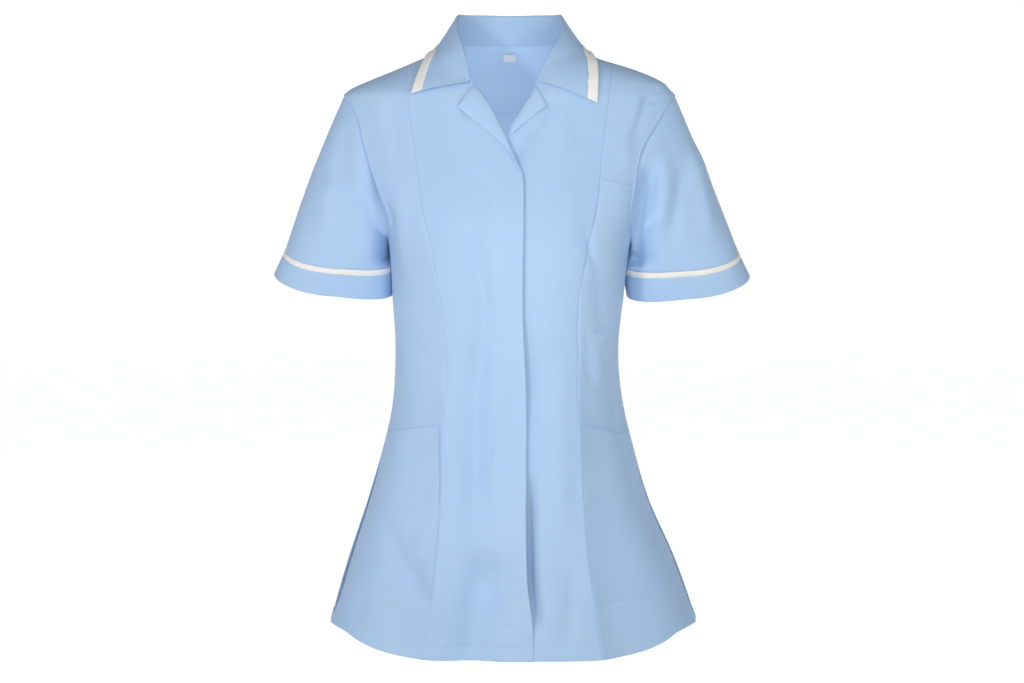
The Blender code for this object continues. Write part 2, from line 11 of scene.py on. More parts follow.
import bpy
import numpy as np
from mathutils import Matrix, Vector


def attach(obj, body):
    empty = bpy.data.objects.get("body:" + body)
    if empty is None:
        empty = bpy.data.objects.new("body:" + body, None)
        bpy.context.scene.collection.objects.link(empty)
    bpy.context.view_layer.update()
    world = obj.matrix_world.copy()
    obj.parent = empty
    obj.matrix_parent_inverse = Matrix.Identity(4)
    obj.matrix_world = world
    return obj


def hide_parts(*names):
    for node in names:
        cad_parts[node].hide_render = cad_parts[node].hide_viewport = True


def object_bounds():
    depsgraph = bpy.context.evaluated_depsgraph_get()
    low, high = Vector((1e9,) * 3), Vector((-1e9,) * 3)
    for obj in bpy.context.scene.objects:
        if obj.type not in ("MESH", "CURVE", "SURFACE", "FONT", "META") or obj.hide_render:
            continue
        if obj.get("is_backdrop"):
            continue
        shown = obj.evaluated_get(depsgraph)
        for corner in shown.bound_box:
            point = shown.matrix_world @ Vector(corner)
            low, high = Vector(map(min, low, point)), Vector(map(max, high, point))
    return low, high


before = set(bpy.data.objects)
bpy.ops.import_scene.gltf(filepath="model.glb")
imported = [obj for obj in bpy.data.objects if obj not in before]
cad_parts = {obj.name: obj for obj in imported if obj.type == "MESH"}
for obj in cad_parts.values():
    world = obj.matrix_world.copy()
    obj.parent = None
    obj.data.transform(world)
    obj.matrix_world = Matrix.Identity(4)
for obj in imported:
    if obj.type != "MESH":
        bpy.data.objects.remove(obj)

MM = 0.001
cad_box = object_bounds()
print("the frame has", len(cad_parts), "pieces")

# %% [markdown]
# ## The form
# A tunic hangs on one closed form: blunt ovals stacked up the body. It could be sculpted, but a formula keeps
# every piece on the same surface, so that seams meet. Each row below is one level section, in millimetres.
# The front and the back have their own depth and squareness.

# %% Sections of the body
def named_rows(columns, *rows):
    """A table whose columns can be asked for by name."""
    row_of = namedtuple("Row", columns)
    return [row_of(*row) for row in rows]


SECTIONS = named_rows(
    "height half_width front_depth back_depth centre_y sway front_square back_square",
    (0, 65, 38, 66, 0, 0, 2.0, 2.0),
    (-17, 103, 45, 72, 0, 1, 2.0, 2.0),
    (-31, 142, 52, 78, 0, 7, 2.05, 2.0),
    (-45, 175.5, 60, 84, 0, 6, 2.1, 2.05),
    (-54, 190, 65, 88, 0, 1, 2.1, 2.1),
    (-62, 197, 69, 91, 1, 0, 2.15, 2.1),
    (-90, 200, 79, 97, 3, 0, 2.2, 2.15),
    (-120, 194, 90, 101, 5, 0, 2.3, 2.2),
    (-160, 178, 105, 105, 6, 0, 2.4, 2.2),
    (-200, 158, 118, 106, 6, 0, 2.5, 2.2),
    (-230, 146, 123, 105, 5, 0, 2.55, 2.2),
    (-268, 141, 123, 100, 4, -1, 2.6, 2.2),
    (-305, 138, 118, 95, 2, -2, 2.6, 2.2),
    (-350, 134, 111, 90, 0, -3, 2.6, 2.2),
    (-390, 134.5, 108, 90, 0, -3, 2.6, 2.2),
    (-430, 138.5, 109, 97, 0, -2, 2.6, 2.2),
    (-473, 148, 114, 108, 2, -1.5, 2.6, 2.2),
    (-545, 169, 123, 120, 4, -1.5, 2.6, 2.2),
    (-620, 198, 131, 130, 6, 2.5, 2.6, 2.2),
    (-700, 224, 138, 138, 8, 5, 2.6, 2.2),
    (-740, 236, 141, 141, 8, 6, 2.6, 2.2),
)


def mix(a, b, share):
    return a + (b - a) * share


def ease(share):
    share = np.clip(share, 0, 1)
    return share * share * (3 - 2 * share)


def through(table, column, at):
    """The column's value where the table's first column is at: a smooth curve through its rows."""
    keys = np.array([row[0] for row in table], float)
    values = np.array([getattr(row, column) for row in table], float)
    at = np.asarray(at, float)
    if keys[0] > keys[-1]:
        keys, at = -keys, -at
    at = np.clip(at, keys[0], keys[-1])
    ends = np.arange(len(keys))
    before = np.maximum(ends - 1, 0)
    after = np.minimum(ends + 1, len(keys) - 1)
    slopes = (values[after] - values[before]) / (keys[after] - keys[before])
    k = np.clip(np.searchsorted(keys, at) - 1, 0, len(keys) - 2)
    span = keys[k + 1] - keys[k]
    s = (at - keys[k]) / span
    level = mix(values[k], values[k + 1], 3 * s**2 - 2 * s**3)
    bend = (s**3 - 2 * s**2 + s) * slopes[k] + (s**3 - s**2) * slopes[k + 1]
    return level + bend * span


def section(column, height):
    return through(SECTIONS, column, height)


def by_half(column, front, height):
    """The column of the form's front half where front is true, and of its back half elsewhere."""
    return np.where(front, section(f"front_{column}", height), section(f"back_{column}", height))


def hill(off, width):
    """A soft hill: 1 where off is 0, and almost nothing beyond twice the width."""
    return np.exp(-((off / width) ** 2))


def below(height, z, run):
    """0 above the height, rising softly to 1 over the run below it."""
    return ease((height - z) / run)


def above(height, z, run):
    """0 below the height, rising softly to 1 over the run above it."""
    return ease((z - height) / run)


# %% Points on the form
SEAM_GAP = 0.3


def points(x, y, z):
    return np.stack(np.broadcast_arrays(x, y, z), axis=-1).astype(float)


def on_body(half, turn, height):
    """The points this many degrees round from the middle of the front or the back, at this height."""
    square = section(f"{half}_square", height)
    radians = np.radians(np.minimum(90, np.abs(turn)))
    across = section("half_width", height) * np.sin(radians) ** (2 / square)
    depth = section(f"{half}_depth", height) * np.maximum(0, np.cos(radians)) ** (2 / square)
    depth = np.maximum(depth, SEAM_GAP / 2) * (-1 if half == "front" else 1)
    x = section("sway", height) + np.copysign(across, turn)
    return points(x, section("centre_y", height) + depth, height)


def turn_at(x, height, half="front"):
    off = x - section("sway", height)
    share = np.minimum(1, np.abs(off) / section("half_width", height))
    turn = np.degrees(np.arcsin(share ** (section(f"{half}_square", height) / 2)))
    return np.copysign(turn, off)


def front_y(x, height):
    return on_body("front", turn_at(x, height), height)[..., 1]


def back_y(x, height):
    return on_body("back", turn_at(x, height, "back"), height)[..., 1]


def outside(p):
    """Above 0 where a point is outside the form, and below 0 inside it."""
    x, y, z = p[..., 0], p[..., 1], p[..., 2]
    off = np.abs(x - section("sway", z)) / section("half_width", z)
    deep = y - section("centre_y", z)
    square, depth = by_half("square", deep < 0, z), by_half("depth", deep < 0, z)
    return off**square + (np.abs(deep) / depth) ** square - 1


HALVINGS = 30


def halved(low, high, too_low):
    """The place between low and high where too_low stops being true, found by halves."""
    for _ in range(HALVINGS):
        middle = (low + high) / 2
        move = too_low(middle)
        low = np.where(move, middle, low)
        high = np.where(move, high, middle)
    return low


WAIST = -350.0
waist = on_body("front", 90, WAIST)[0] - on_body("front", -90, WAIST)[0]
print(f"the form is {waist:.0f} mm across the waist")

# %% [markdown]
# ## The seams
# A maker cuts the cloth along seams that follow the figure. The princess seams run from the shoulder over the
# bust to the hem, and give the shape without darts. Each seam is a short table of places on the form.

# %% Where the seams run
SHOULDER_TIP_DROP = 62.0
SHOULDER_TIP_REACH = 197.0
PRINCESS_DROP = 24.0
NECK_REACH = 65.0
UNDERARM = -230.0
VENT_TOP = -505.0
VENT_TURN = 4.0
YOKE_DROP = 82.0
YOKE_FALL = 0.3
PRINCESS_BEND = 1.8
INNER_BEND = 1.6
SEAM_TURN = 0.012
ROUNDS = 3

PRINCESS_SEAMS = named_rows(
    "height right left",
    (-24, 123, 123), (-80, 118, 115.5), (-140, 109, 108), (-195, 102, 101.5), (-230, 94, 93.5),
    (-300, 80.5, 81), (-370, 74, 80.5), (-420, 76, 80.5), (-450, 80, 84), (-530, 81, 87), (-605, 86, 93),
    (-650, 91, 99.5), (-740, 99, 113),
)

INNER_EDGES = named_rows(
    "height right left",
    (0, -65, 65), (-7, -63, 62), (-21, -58, 54.5), (-40, -50, 41), (-50, -42.5, 31.5), (-63, -31, 24),
    (-90, -15, 5.5), (-107, -4.5, -2), (-125, 3, -6), (-151, 13.5, -12), (-175, 15.5, -14),
    (-310, 14.5, -14), (-415, 18.5, -13), (-617, 19, -12), (-684, 26.5, -11), (-740, 27, -10),
)

ARMHOLES = named_rows(
    "fall front_right front_left back",
    (0.0, 90, 90, 90), (0.1, 77, 77, 77.5), (0.2, 66, 66, 68), (0.3, 60.7, 58.5, 63.5), (0.4, 59.8, 52, 62),
    (0.5, 60, 51.5, 61.5), (0.6, 61, 55, 62.5), (0.7, 62.5, 60, 65), (0.8, 67, 66.5, 70), (0.9, 77, 77, 79),
    (1.0, 90, 90, 90),
)

HEM_LINE = named_rows(
    "turn height",
    (0, -719), (20, -719), (30, -716), (40, -711), (50, -704), (62, -695), (75, -693), (90, -695),
)


def word_of(side):
    return "left" if side > 0 else "right"


def hem_height(turn):
    return through(HEM_LINE, "height", np.abs(turn))


def skirt_height(fall, turn):
    return mix(UNDERARM, hem_height(turn), fall - 1)


def side_seam(fall, side, half):
    """Turn and height of the armhole's edge, where fall is 0 to 1, and then of the side seam and vent."""
    share = (1 - np.cos(np.pi * np.minimum(fall, 1))) / 2
    column = "back" if half == "back" else f"front_{word_of(side)}"
    arm_turn = through(ARMHOLES, column, fall)
    arm_height = mix(-SHOULDER_TIP_DROP, UNDERARM, share)
    height = skirt_height(fall, 90)
    if half == "back":
        turn = np.full_like(height, 90.0)
    else:
        turn = 90 - VENT_TURN * ease((VENT_TOP - height) / (VENT_TOP - hem_height(90)))
        height = skirt_height(fall, turn)
    skirt = fall > 1
    return np.where(skirt, turn, arm_turn), np.where(skirt, height, arm_height)


def princess_seam(fall, side):
    height = mix(-PRINCESS_DROP, UNDERARM, np.minimum(1, fall) ** PRINCESS_BEND)
    turn = np.zeros_like(height)
    for _ in range(ROUNDS):
        height = np.where(fall > 1, skirt_height(fall, turn), height)
        x = side * through(PRINCESS_SEAMS, word_of(side), height)
        turn = np.abs(turn_at(x, height))
    return np.where(fall == 0, 90.0, turn), height


def inner_edge(fall, side):
    """Signed turn and height of a front's inner edge: neck seam, roll line, closing edge."""
    upper = mix(0.0, UNDERARM, np.minimum(fall, 1) ** INNER_BEND)
    height = np.where(fall <= 1, upper, skirt_height(fall, 0))
    return turn_at(through(INNER_EDGES, word_of(side), height), height), height


print(f"the underarm is {-UNDERARM:.0f} mm below the neck, and the hem {-hem_height(0):.0f} mm")

# %% [markdown]
# ## Folds
# Worn cloth is never smooth. Simulation would give folds, but not these ones, so each soft trough or ridge is
# placed one by one. A fold runs along a bent line on the front, the back or a sleeve, has a width and a depth
# in millimetres, and fades out at both ends.

# %% Folds placed one by one
Fold = namedtuple("Fold", "x0 z0 x1 z1 x2 z2 width depth")
FOLDS = {
    "front": (
        # The long soft trough that falls from the bust beside the fastening, and widens at the hem.
        (-58, -205, -27, -262, -28, -350, 12, -7), (-24, -290, -52, -440, -34, -610, 14, -8),
        (-66, -300, -84, -430, -62, -560, 12, 3), (-26, -580, -36, -660, -56, -760, 23, -15),
        (-84, -560, -88, -640, -96, -716, 12, 1.8), (56, -340, 60, -460, 60, -600, 15, 3.5),
        (39, -560, 51, -640, 45, -716, 13, 2.2), (75, -600, 73, -650, 69, -716, 9, -2),
        # Small creases at the waist, where the cloth is drawn in.
        (-24, -342, -15, -346, -5, -349, 4, -0.9), (97, -342, 108, -338, 122, -336, 4, -2.4),
        (86, -339, 92, -349, 96, -358, 3.5, -1.8), (98, -350, 108, -376, 119, -406, 6, 2),
        (88, -362, 94, -384, 104, -408, 6, -2), (-132, -333, -117, -343, -98, -332, 5, -2),
        (-130, -361, -113, -352, -94, -362, 5, -1.8), (-78, -340, -76, -382, -70, -424, 6, -2),
        (-75, -441, -69, -452, -60, -465, 3.5, -1.6), (-17, -606, -20, -612, -26, -621, 4, -1.2),
        (-14, -639, -22, -646, -30, -656, 4, -1.5), (-13, -670, -6, -682, 6, -683, 3.5, -1.8),
        (58, -530, 72, -528, 88, -521, 4, -1.5), (73, -542, 82, -536, 91, -528, 3.5, -1.5),
        (32, -674, 44, -680, 56, -684, 4, -1.3),
        # Creases that run from the armhole and the bust.
        (85, -210, 93, -235, 97, -262, 5, -1.8), (92, -235, 99, -252, 103, -272, 4, -1.6),
        (103, -235, 110, -300, 108, -350, 11, -2.6), (-131, -166, -126, -218, -128, -280, 8, 2.6),
        (-144, -186, -140, -203, -134, -218, 4.5, -2.6), (172, -48, 154, -84, 136, -134, 7, -4),
        (156, -60, 145, -104, 129, -156, 8, 2.4), (178, -50, 173, -62, 167, -74, 5, -2),
        (-147, -62, -133, -110, -125, -158, 9, -2.2), (77, -66, 79, -98, 81, -128, 9, -1.6),
        (66, -150, 72, -200, 62, -260, 16, 2),
        # The skirt's broad waves.
        (-152, -552, -138, -614, -88, -644, 12, -6), (-108, -514, -103, -532, -94, -550, 4, -1.5),
        (-109, -560, -105, -590, -97, -612, 9, 1.8), (-179, -640, -181, -668, -185, -696, 8, -2.2),
        (-131, -650, -133, -686, -135, -716, 9, -2.6),
        # The soft dent below each revere, and the deep corner at the foot of the neck opening.
        (52, -56, 40, -86, 16, -122, 5, -3.2), (13, -114, 10, -126, 8, -142, 5, -3),
        (-52, -58, -54, -74, -44, -96, 6, -1.8),
    ),
    "back": (
        # The back: the hollow of the waist and the fall of the skirt.
        (-70, -120, -84, -210, -60, -300, 20, -5.0), (64, -130, 82, -215, 66, -310, 18, -4.6),
        (-96, -338, -50, -352, -12, -346, 7, -2.4), (20, -362, 58, -356, 98, -366, 8, -2.6),
        (-88, -382, -46, -392, -8, -384, 6, -1.8), (-58, -430, -74, -560, -92, -700, 16, -7.5),
        (4, -450, 8, -570, -4, -710, 19, -6.0), (70, -440, 88, -560, 84, -700, 16, -8.0),
        (-130, -500, -146, -600, -158, -700, 15, -6.0), (136, -520, 150, -600, 158, -700, 14, -5.5),
        (-30, -470, -34, -590, -42, -706, 14, 3.5), (44, -480, 46, -600, 40, -706, 13, 3),
    ),
    # The sleeves, which hang in soft upright folds, and crease below the arm.
    "sleeve_right": (
        (-190, -92, -200, -130, -196, -176, 10, -3), (-180, -170, -169, -197, -152, -224, 7, -3),
        (-208, -146, -218, -190, -224, -240, 10, 2.4),
    ),
    "sleeve_left": (
        (207, -134, 201, -196, 185, -248, 9, -4), (216, -110, 230, -176, 242, -240, 10, 4.5),
        (179, -116, 187, -170, 173, -230, 9, 2.6), (144, -244, 151, -258, 159, -268, 4.5, -2.2),
    ),
    "sleeve_back": (
        (-206, -110, -214, -160, -208, -230, 11, -2.8), (206, -116, 218, -170, 210, -236, 10, -2.8),
        (-176, -176, -184, -200, -182, -236, 8, -2.2), (178, -170, 186, -198, 186, -236, 8, -2.2),
    ),
}
FOLD_STEPS = 9
FADE = 0.3


def fold_depth(fold, x, z):
    """How far this fold moves the cloth at each x and z."""
    share = np.linspace(0, 1, FOLD_STEPS + 1)
    weights = (1 - share) ** 2, 2 * share * (1 - share), share**2
    line_x = weights[0] * fold.x0 + weights[1] * fold.x1 + weights[2] * fold.x2
    line_z = weights[0] * fold.z0 + weights[1] * fold.z1 + weights[2] * fold.z2
    nearest = np.full(np.shape(x), np.inf)
    along = np.zeros(np.shape(x))
    for k in range(FOLD_STEPS):
        run_x, run_z = line_x[k + 1] - line_x[k], line_z[k + 1] - line_z[k]
        at = ((x - line_x[k]) * run_x + (z - line_z[k]) * run_z) / (run_x**2 + run_z**2)
        at = np.clip(at, 0, 1)
        off = np.hypot(x - line_x[k] - at * run_x, z - line_z[k] - at * run_z)
        closer = off < nearest
        nearest = np.where(closer, off, nearest)
        along = np.where(closer, (k + at) / FOLD_STEPS, along)
    return fold.depth * ease(np.minimum(along, 1 - along) / FADE) * hill(nearest, fold.width)


def folds_at(where, x, z):
    total = np.zeros(np.shape(x))
    for row in FOLDS[where]:
        total = total + fold_depth(Fold(*row), x, z)
    return total


print(sum(len(rows) for rows in FOLDS.values()), "folds placed")

# %% [markdown]
# ## One way to make a piece of cloth
# Each piece starts as a grid, which is what woven cloth is, and every crossing is laid on the form. Seams
# pull the cloth in, so crossings are closer together near the edges and the surface dips there. Solidify then
# gives the cloth its thickness. Cutting a piece from a finished body would lose the grain of the cloth.

# %% A grid laid on the form
BODY_MIDDLE = (0.0, 0.0, -360.0)
NEAR_EDGE = (0.6, 1.3, 2.2, 3.4, 5.0)
LEAST_STEP_SHARE = 0.15
TINY = 1e-9


def shares(length, step, near=NEAR_EDGE, more=()):
    """Shares from 0 to 1 about step apart. Those near both ends, and those in more, are in millimetres."""
    even = np.linspace(0, 1, max(2, round(length / step)) + 1)
    edge = np.array(near) / length
    inner = np.array(more, float) / length
    even = even[(even == 0) | (even == 1) | ((even > edge.max()) & (even < 1 - edge.max()))]
    every = np.sort(np.concatenate([even, edge, 1 - edge, inner]))
    keep = np.concatenate([[True], np.diff(every) > LEAST_STEP_SHARE * step / length])
    keep[-1] = True
    return every[keep]


def lay(place, across, down):
    u, v = np.meshgrid(across, down)
    return place(u, v)


def unit(grid):
    return grid / np.maximum(np.linalg.norm(grid, axis=-1, keepdims=True), TINY)


def normals_of(grid, centre=BODY_MIDDLE, tube=False):
    """The surface's own normals, facing away from centre. A tube's first and last columns are the same."""
    over = np.gradient(grid, axis=1)
    if tube:
        over[:, 0] = over[:, -1] = (grid[:, 1] - grid[:, -2]) / 2
    normal = unit(np.cross(over, np.gradient(grid, axis=0)))
    flip = (normal * (grid - np.array(centre, float))).sum(axis=-1).mean() < 0
    return -normal if flip else normal


def moved(grid, distance, centre=BODY_MIDDLE, tube=False):
    normals = normals_of(grid, centre, tube)
    return grid + normals * np.broadcast_to(distance, grid.shape[:2])[..., None]


def lengths(grid, axis):
    """How far each crossing is along its row (axis 1) or column (axis 0), in millimetres."""
    step = np.linalg.norm(np.diff(grid, axis=axis), axis=-1)
    first = np.zeros_like(np.take(step, [0], axis=axis))
    return np.concatenate([first, np.cumsum(step, axis=axis)], axis=axis)


def to_end(grid, axis):
    """How far each crossing is from the end of its row (axis 1) or column (axis 0)."""
    along = lengths(grid, axis)
    return np.take(along, [-1], axis=axis) - along


def at_run(values, run, where):
    """The values at these places, where run is how far along each value is."""
    return np.stack([np.interp(where, run, values[:, k]) for k in range(3)], axis=-1)


print(len(shares(100, 3)), "crossings lie along 100 mm of cloth")

# %% From a grid to a piece of cloth
CLOTH = 0.8
MERGE_WITHIN = 0.00001
RIM_ANGLE = math.radians(60)
SMOOTH_ANGLE = math.radians(50)
shells, cloth_sizes, pieces = {}, {}, {}


def pick_only(piece):
    bpy.ops.object.select_all(action="DESELECT")
    piece.select_set(True)
    bpy.context.view_layer.objects.active = piece


def laid_mesh(name, grid):
    """A mesh with a corner at each crossing of grid. Its UV map is in metres of cloth."""
    rows, columns = grid.shape[:2]
    bpy.ops.object.select_all(action="DESELECT")
    bpy.ops.mesh.primitive_grid_add(x_subdivisions=columns - 1, y_subdivisions=rows - 1, size=1)
    piece = bpy.context.object
    piece.name = f"{name}_cloth"
    mesh = piece.data
    start = np.empty(len(mesh.vertices) * 3)
    mesh.vertices.foreach_get("co", start)
    start = start.reshape(-1, 3)
    column = np.rint((start[:, 0] + 0.5) * (columns - 1)).astype(int)
    row = np.rint((0.5 - start[:, 1]) * (rows - 1)).astype(int)
    mesh.vertices.foreach_set("co", (grid[row, column] * MM).ravel())
    over, down = lengths(grid, 1), lengths(grid, 0)
    over = over - over[:, [columns // 2]]
    corner = np.empty(len(mesh.loops), int)
    mesh.loops.foreach_get("vertex_index", corner)
    flat = np.stack([over[row, column], down[row, column]], axis=-1)[corner] * MM
    mesh.uv_layers.active.data.foreach_set("uv", flat.ravel())
    return piece


def thicken(piece, thick, tube, rim):
    """Closes a tube, turns the faces outwards, and gives the cloth its thickness and a rounded rim."""
    pick_only(piece)
    bpy.ops.object.mode_set(mode="EDIT")
    bpy.ops.mesh.select_all(action="SELECT")
    if tube:
        bpy.ops.mesh.remove_doubles(threshold=MERGE_WITHIN)
    bpy.ops.mesh.normals_make_consistent(inside=False)
    bpy.ops.object.mode_set(mode="OBJECT")
    wall = piece.modifiers.new("thickness", "SOLIDIFY")
    wall.thickness = thick * MM
    wall.offset = 0
    rounded = piece.modifiers.new("rounded rim", "BEVEL")
    rounded.width = rim * MM
    rounded.segments = 2
    rounded.limit_method = "ANGLE"
    rounded.angle_limit = RIM_ANGLE
    for modifier in (wall, rounded):
        bpy.ops.object.modifier_apply(modifier=modifier.name)
    bpy.ops.object.shade_smooth_by_angle(angle=SMOOTH_ANGLE)


def cloth(name, grid, thick=CLOTH, tube=False, rim=0.2):
    """Makes the piece of cloth whose crossings are at grid, in millimetres. Keeps its grid and its size."""
    shells[name], pieces[name] = grid, laid_mesh(name, grid)
    thicken(pieces[name], thick, tube, rim)
    width, length = lengths(grid, 1)[:, -1].max(), lengths(grid, 0)[-1].max()
    cell_over, cell_down = np.diff(grid, axis=1)[:-1], np.diff(grid, axis=0)[:, :-1]
    area = np.linalg.norm(np.cross(cell_over, cell_down), axis=-1).sum()
    cloth_sizes[name] = (width * MM, length * MM, min(area, width * length) * MM * MM)
    print(f"{name}: cut {width:.0f} x {length:.0f} mm, {len(pieces[name].data.polygons)} faces")


# %% What sewing does to the cloth
SEAM_DIP = 0.75
SEAM_DIP_WIDTH = 1.1
PUCKER_REACH = 7.0
# The ripples of a pucker, each with its length, its height and how far the seed shifts it.
RIPPLES = ((1.9, 1.0, 1), (3.1, 0.9, 2), (5.3, 0.6, 0))
RIPPLES_HEIGHT = 2.5
# The puckers' depth changes slowly along the seam, by a swing to both sides of its middle.
SLOW_LENGTHS = (23, 41)
SLOW_MIDDLE = 0.55
SLOW_SWING = 0.45


def seam_dip(grid, sides="lrtb"):
    """How far a piece dips along the edges that are sewn: left, right, top, bottom."""
    gaps = {"l": lengths(grid, 1), "r": to_end(grid, 1), "t": lengths(grid, 0), "b": to_end(grid, 0)}
    return -SEAM_DIP * sum(hill(gaps[side], SEAM_DIP_WIDTH) for side in sides)


def puckers(along, off, seed, depth):
    """Small uneven ripples where a seam draws the cloth up. They fade with the distance off the seam."""
    first, second = SLOW_LENGTHS
    slow = SLOW_MIDDLE + SLOW_SWING * np.sin(along / first + 3 * seed) * np.sin(along / second + seed)
    ripple = sum(height * np.sin(along / length + shift * seed) for length, height, shift in RIPPLES)
    return depth * slow * ripple / RIPPLES_HEIGHT * np.exp(-off / PUCKER_REACH)


print(f"a seam draws the cloth in by {SEAM_DIP} mm")

# %% [markdown]
# ## The four fronts
# Each front is two pieces joined by a princess seam. The wearer's right front covers the left, so near the
# middle one stands out and the other lies in. The doubled hem is a little thicker, and its line of stitching
# pulls in.

# %% The front panels
OVERLAP_LIFT = 3.0
UNDERLAP_SINK = 2.0
OVERLAP_EASE_FROM = 45.0
OVERLAP_EASE_WIDTH = 60.0
OVERLAP_EASE_DROP = 90.0
HEM_DEPTH = 17.0
HEM_THICKER = 0.35
STITCH_DIP = 0.7
STITCH_DIP_WIDTH = 1.3
HEM_PUCKER = 0.8
STEP = 3.0
ARM_SHARE = 10 / 24


def overlap_move(x, side, height):
    """How far a front stands out, or lies in, where the right front covers the left."""
    down = ease(-height / OVERLAP_EASE_DROP)
    across = ease((OVERLAP_EASE_FROM - side * x) / OVERLAP_EASE_WIDTH)
    return (OVERLAP_LIFT if side < 0 else -UNDERLAP_SINK) * across * down


def fall_of(share):
    """The fall at this share of a front's length: 1 is level with the underarm and 2 is the hem."""
    return np.where(share <= ARM_SHARE, share / ARM_SHARE, 1 + (share - ARM_SHARE) / (1 - ARM_SHARE))


def front_centre(side):
    def place(u, v):
        fall = fall_of(v)
        inner_turn, inner_height = inner_edge(fall, side)
        outer_turn, outer_height = princess_seam(fall, side)
        turn = mix(inner_turn, side * (outer_turn - SEAM_TURN), u)
        height = mix(inner_height, outer_height, u)
        height = np.where(fall > 1, skirt_height(fall, turn), height)
        grid = on_body("front", turn, height)
        grid[..., 1] -= overlap_move(grid[..., 0], side, height)
        return grid

    return place


def front_side(side):
    def place(u, v):
        fall = fall_of(v)
        inner_turn, inner_height = princess_seam(fall, side)
        outer_turn, outer_height = side_seam(fall, side, "front")
        inner_turn = np.minimum(90, inner_turn + SEAM_TURN)
        inner_height = np.where(fall == 0, inner_height - SEAM_GAP, inner_height)
        turn = mix(inner_turn, outer_turn, u)
        height = mix(inner_height, outer_height, u)
        height = np.where(fall > 1, skirt_height(fall, turn), height)
        return on_body("front", side * turn, height)

    return place


print(f"the right front lies {OVERLAP_LIFT + UNDERLAP_SINK:.0f} mm over the left")

# %% How the fronts bend
ARMHOLE_LIFT = 1.3
ARMHOLE_LIFT_WIDTH = 3.0
ARMHOLE_LIFT_RUN = 30.0
Bend = namedtuple("Bend", "bust hip width")
PANEL_BENDS = {-1: Bend(4.0, 6.0, 42), 1: Bend(1.0, 13.0, 54)}
BUST_BEND_TOP = UNDERARM + 30
BUST_BEND_RUN = 80.0
HIP_BEND_TOP = -330.0
HIP_BEND_RUN = 140.0
VentDip = namedtuple("VentDip", "deep width")
VENT_DIPS = {-1: VentDip(8.0, 16), 1: VentDip(1.5, 14)}
VENT_DIP_TOP = VENT_TOP + 20
VENT_DIP_RUN = 45.0
VENT_DIP_FOOT = -700.0
VENT_DIP_FOOT_RUN = 60.0
SIDE_WEIGHT = 0.15
FACING_RISE = 3.0


def hem_move(grid):
    """The hem is doubled, and the stitching above it pulls the cloth in."""
    up = to_end(grid, 0)
    groove = STITCH_DIP * hill(up - HEM_DEPTH, STITCH_DIP_WIDTH)
    return HEM_THICKER * ease((HEM_DEPTH - up) / 2 + 0.5) - groove


def hem_puckers(grid, seed):
    """The hem's stitching draws the cloth up into small ripples."""
    return puckers(lengths(grid, 1), np.abs(to_end(grid, 0) - HEM_DEPTH), seed, HEM_PUCKER)


def armhole_move(grid):
    """A side front stands up a little along its armhole."""
    by_armhole = above(UNDERARM, grid[..., 2], ARMHOLE_LIFT_RUN)
    return ARMHOLE_LIFT * hill(to_end(grid, 1), ARMHOLE_LIFT_WIDTH) * by_armhole


def panel_bend(grid, side):
    """A side front turns away from its princess seam below the bust, so the seam stands as a soft ridge."""
    bend = PANEL_BENDS[side]
    z = grid[..., 2]
    past = lengths(grid, 1) / bend.width
    deep = mix(bend.bust, bend.hip, below(HIP_BEND_TOP, z, HIP_BEND_RUN))
    deep = deep * below(BUST_BEND_TOP, z, BUST_BEND_RUN)
    return -deep * past * np.exp(1 - past) * half_weight(grid, "front")


def vent_move(grid, side):
    """Below the side seam the front's loose edge lies in a little, so that the back shows past it."""
    z = grid[..., 2]
    span = below(VENT_DIP_TOP, z, VENT_DIP_RUN) * above(VENT_DIP_FOOT, z, VENT_DIP_FOOT_RUN)
    return -VENT_DIPS[side].deep * span * hill(to_end(grid, 1), VENT_DIPS[side].width)


def half_weight(grid, half):
    """1 where the cloth faces the front (or the back), falling to 0 at the side."""
    facing = normals_of(grid)[..., 1]
    return ease(SIDE_WEIGHT + FACING_RISE * (-facing if half == "front" else facing))


def body_folds(grid, half):
    return folds_at(half, grid[..., 0], grid[..., 2]) * half_weight(grid, half)


for side, dip in VENT_DIPS.items():
    print(f"at the vent the {word_of(side)} front lies in by {dip.deep} mm")

# %% The closing edge and the fastening strip
# The line of stitching that holds the hidden strip, by height. It ends in a short hook above the hem.
FLY_LINE = named_rows(
    "height x",
    (-151, -28), (-177, -26), (-229, -26), (-333, -27), (-439, -24), (-531, -22.6), (-601, -17),
    (-650, -13.5), (-672, -10), (-682, -1.7),
)
FLY_PUCKER = 0.55
FLY_SEED = 2.7
FLY_DIP = 1.1
FLY_TOP = -154.0
FLY_FOOT = -682.0
EDGE_RADIUS = 1.0
EDGE_THIN_RADIUS = 0.3
EDGE_ROUND_FROM = -140.0
EDGE_ROUND_RUN = 20.0
EDGE_REACH = 6.0
EDGE_TURNS = np.radians((-60, -30, 0, 30, 60))
CURL_WIDTH = 15.0
# The closing edge curls away from the cloth below it by this much.
CURLS = named_rows(
    "height out",
    (-150, 0), (-400, 1.2), (-486, 0.2), (-540, 2.4), (-617, 4.6), (-655, 3.2), (-690, -0.4), (-719, -0.8),
)


def fly_move(grid):
    """The stitched groove of the fastening strip, and the curl of the closing edge."""
    x, z = grid[..., 0], grid[..., 2]
    off = (x - through(FLY_LINE, "x", z)) / STITCH_DIP_WIDTH
    groove = -FLY_DIP * hill(off, 1) * (z < FLY_TOP) * (z > FLY_FOOT)
    groove += puckers(lengths(grid, 0), np.abs(off), FLY_SEED, FLY_PUCKER)
    return groove + through(CURLS, "out", z) * hill(lengths(grid, 1), CURL_WIDTH)


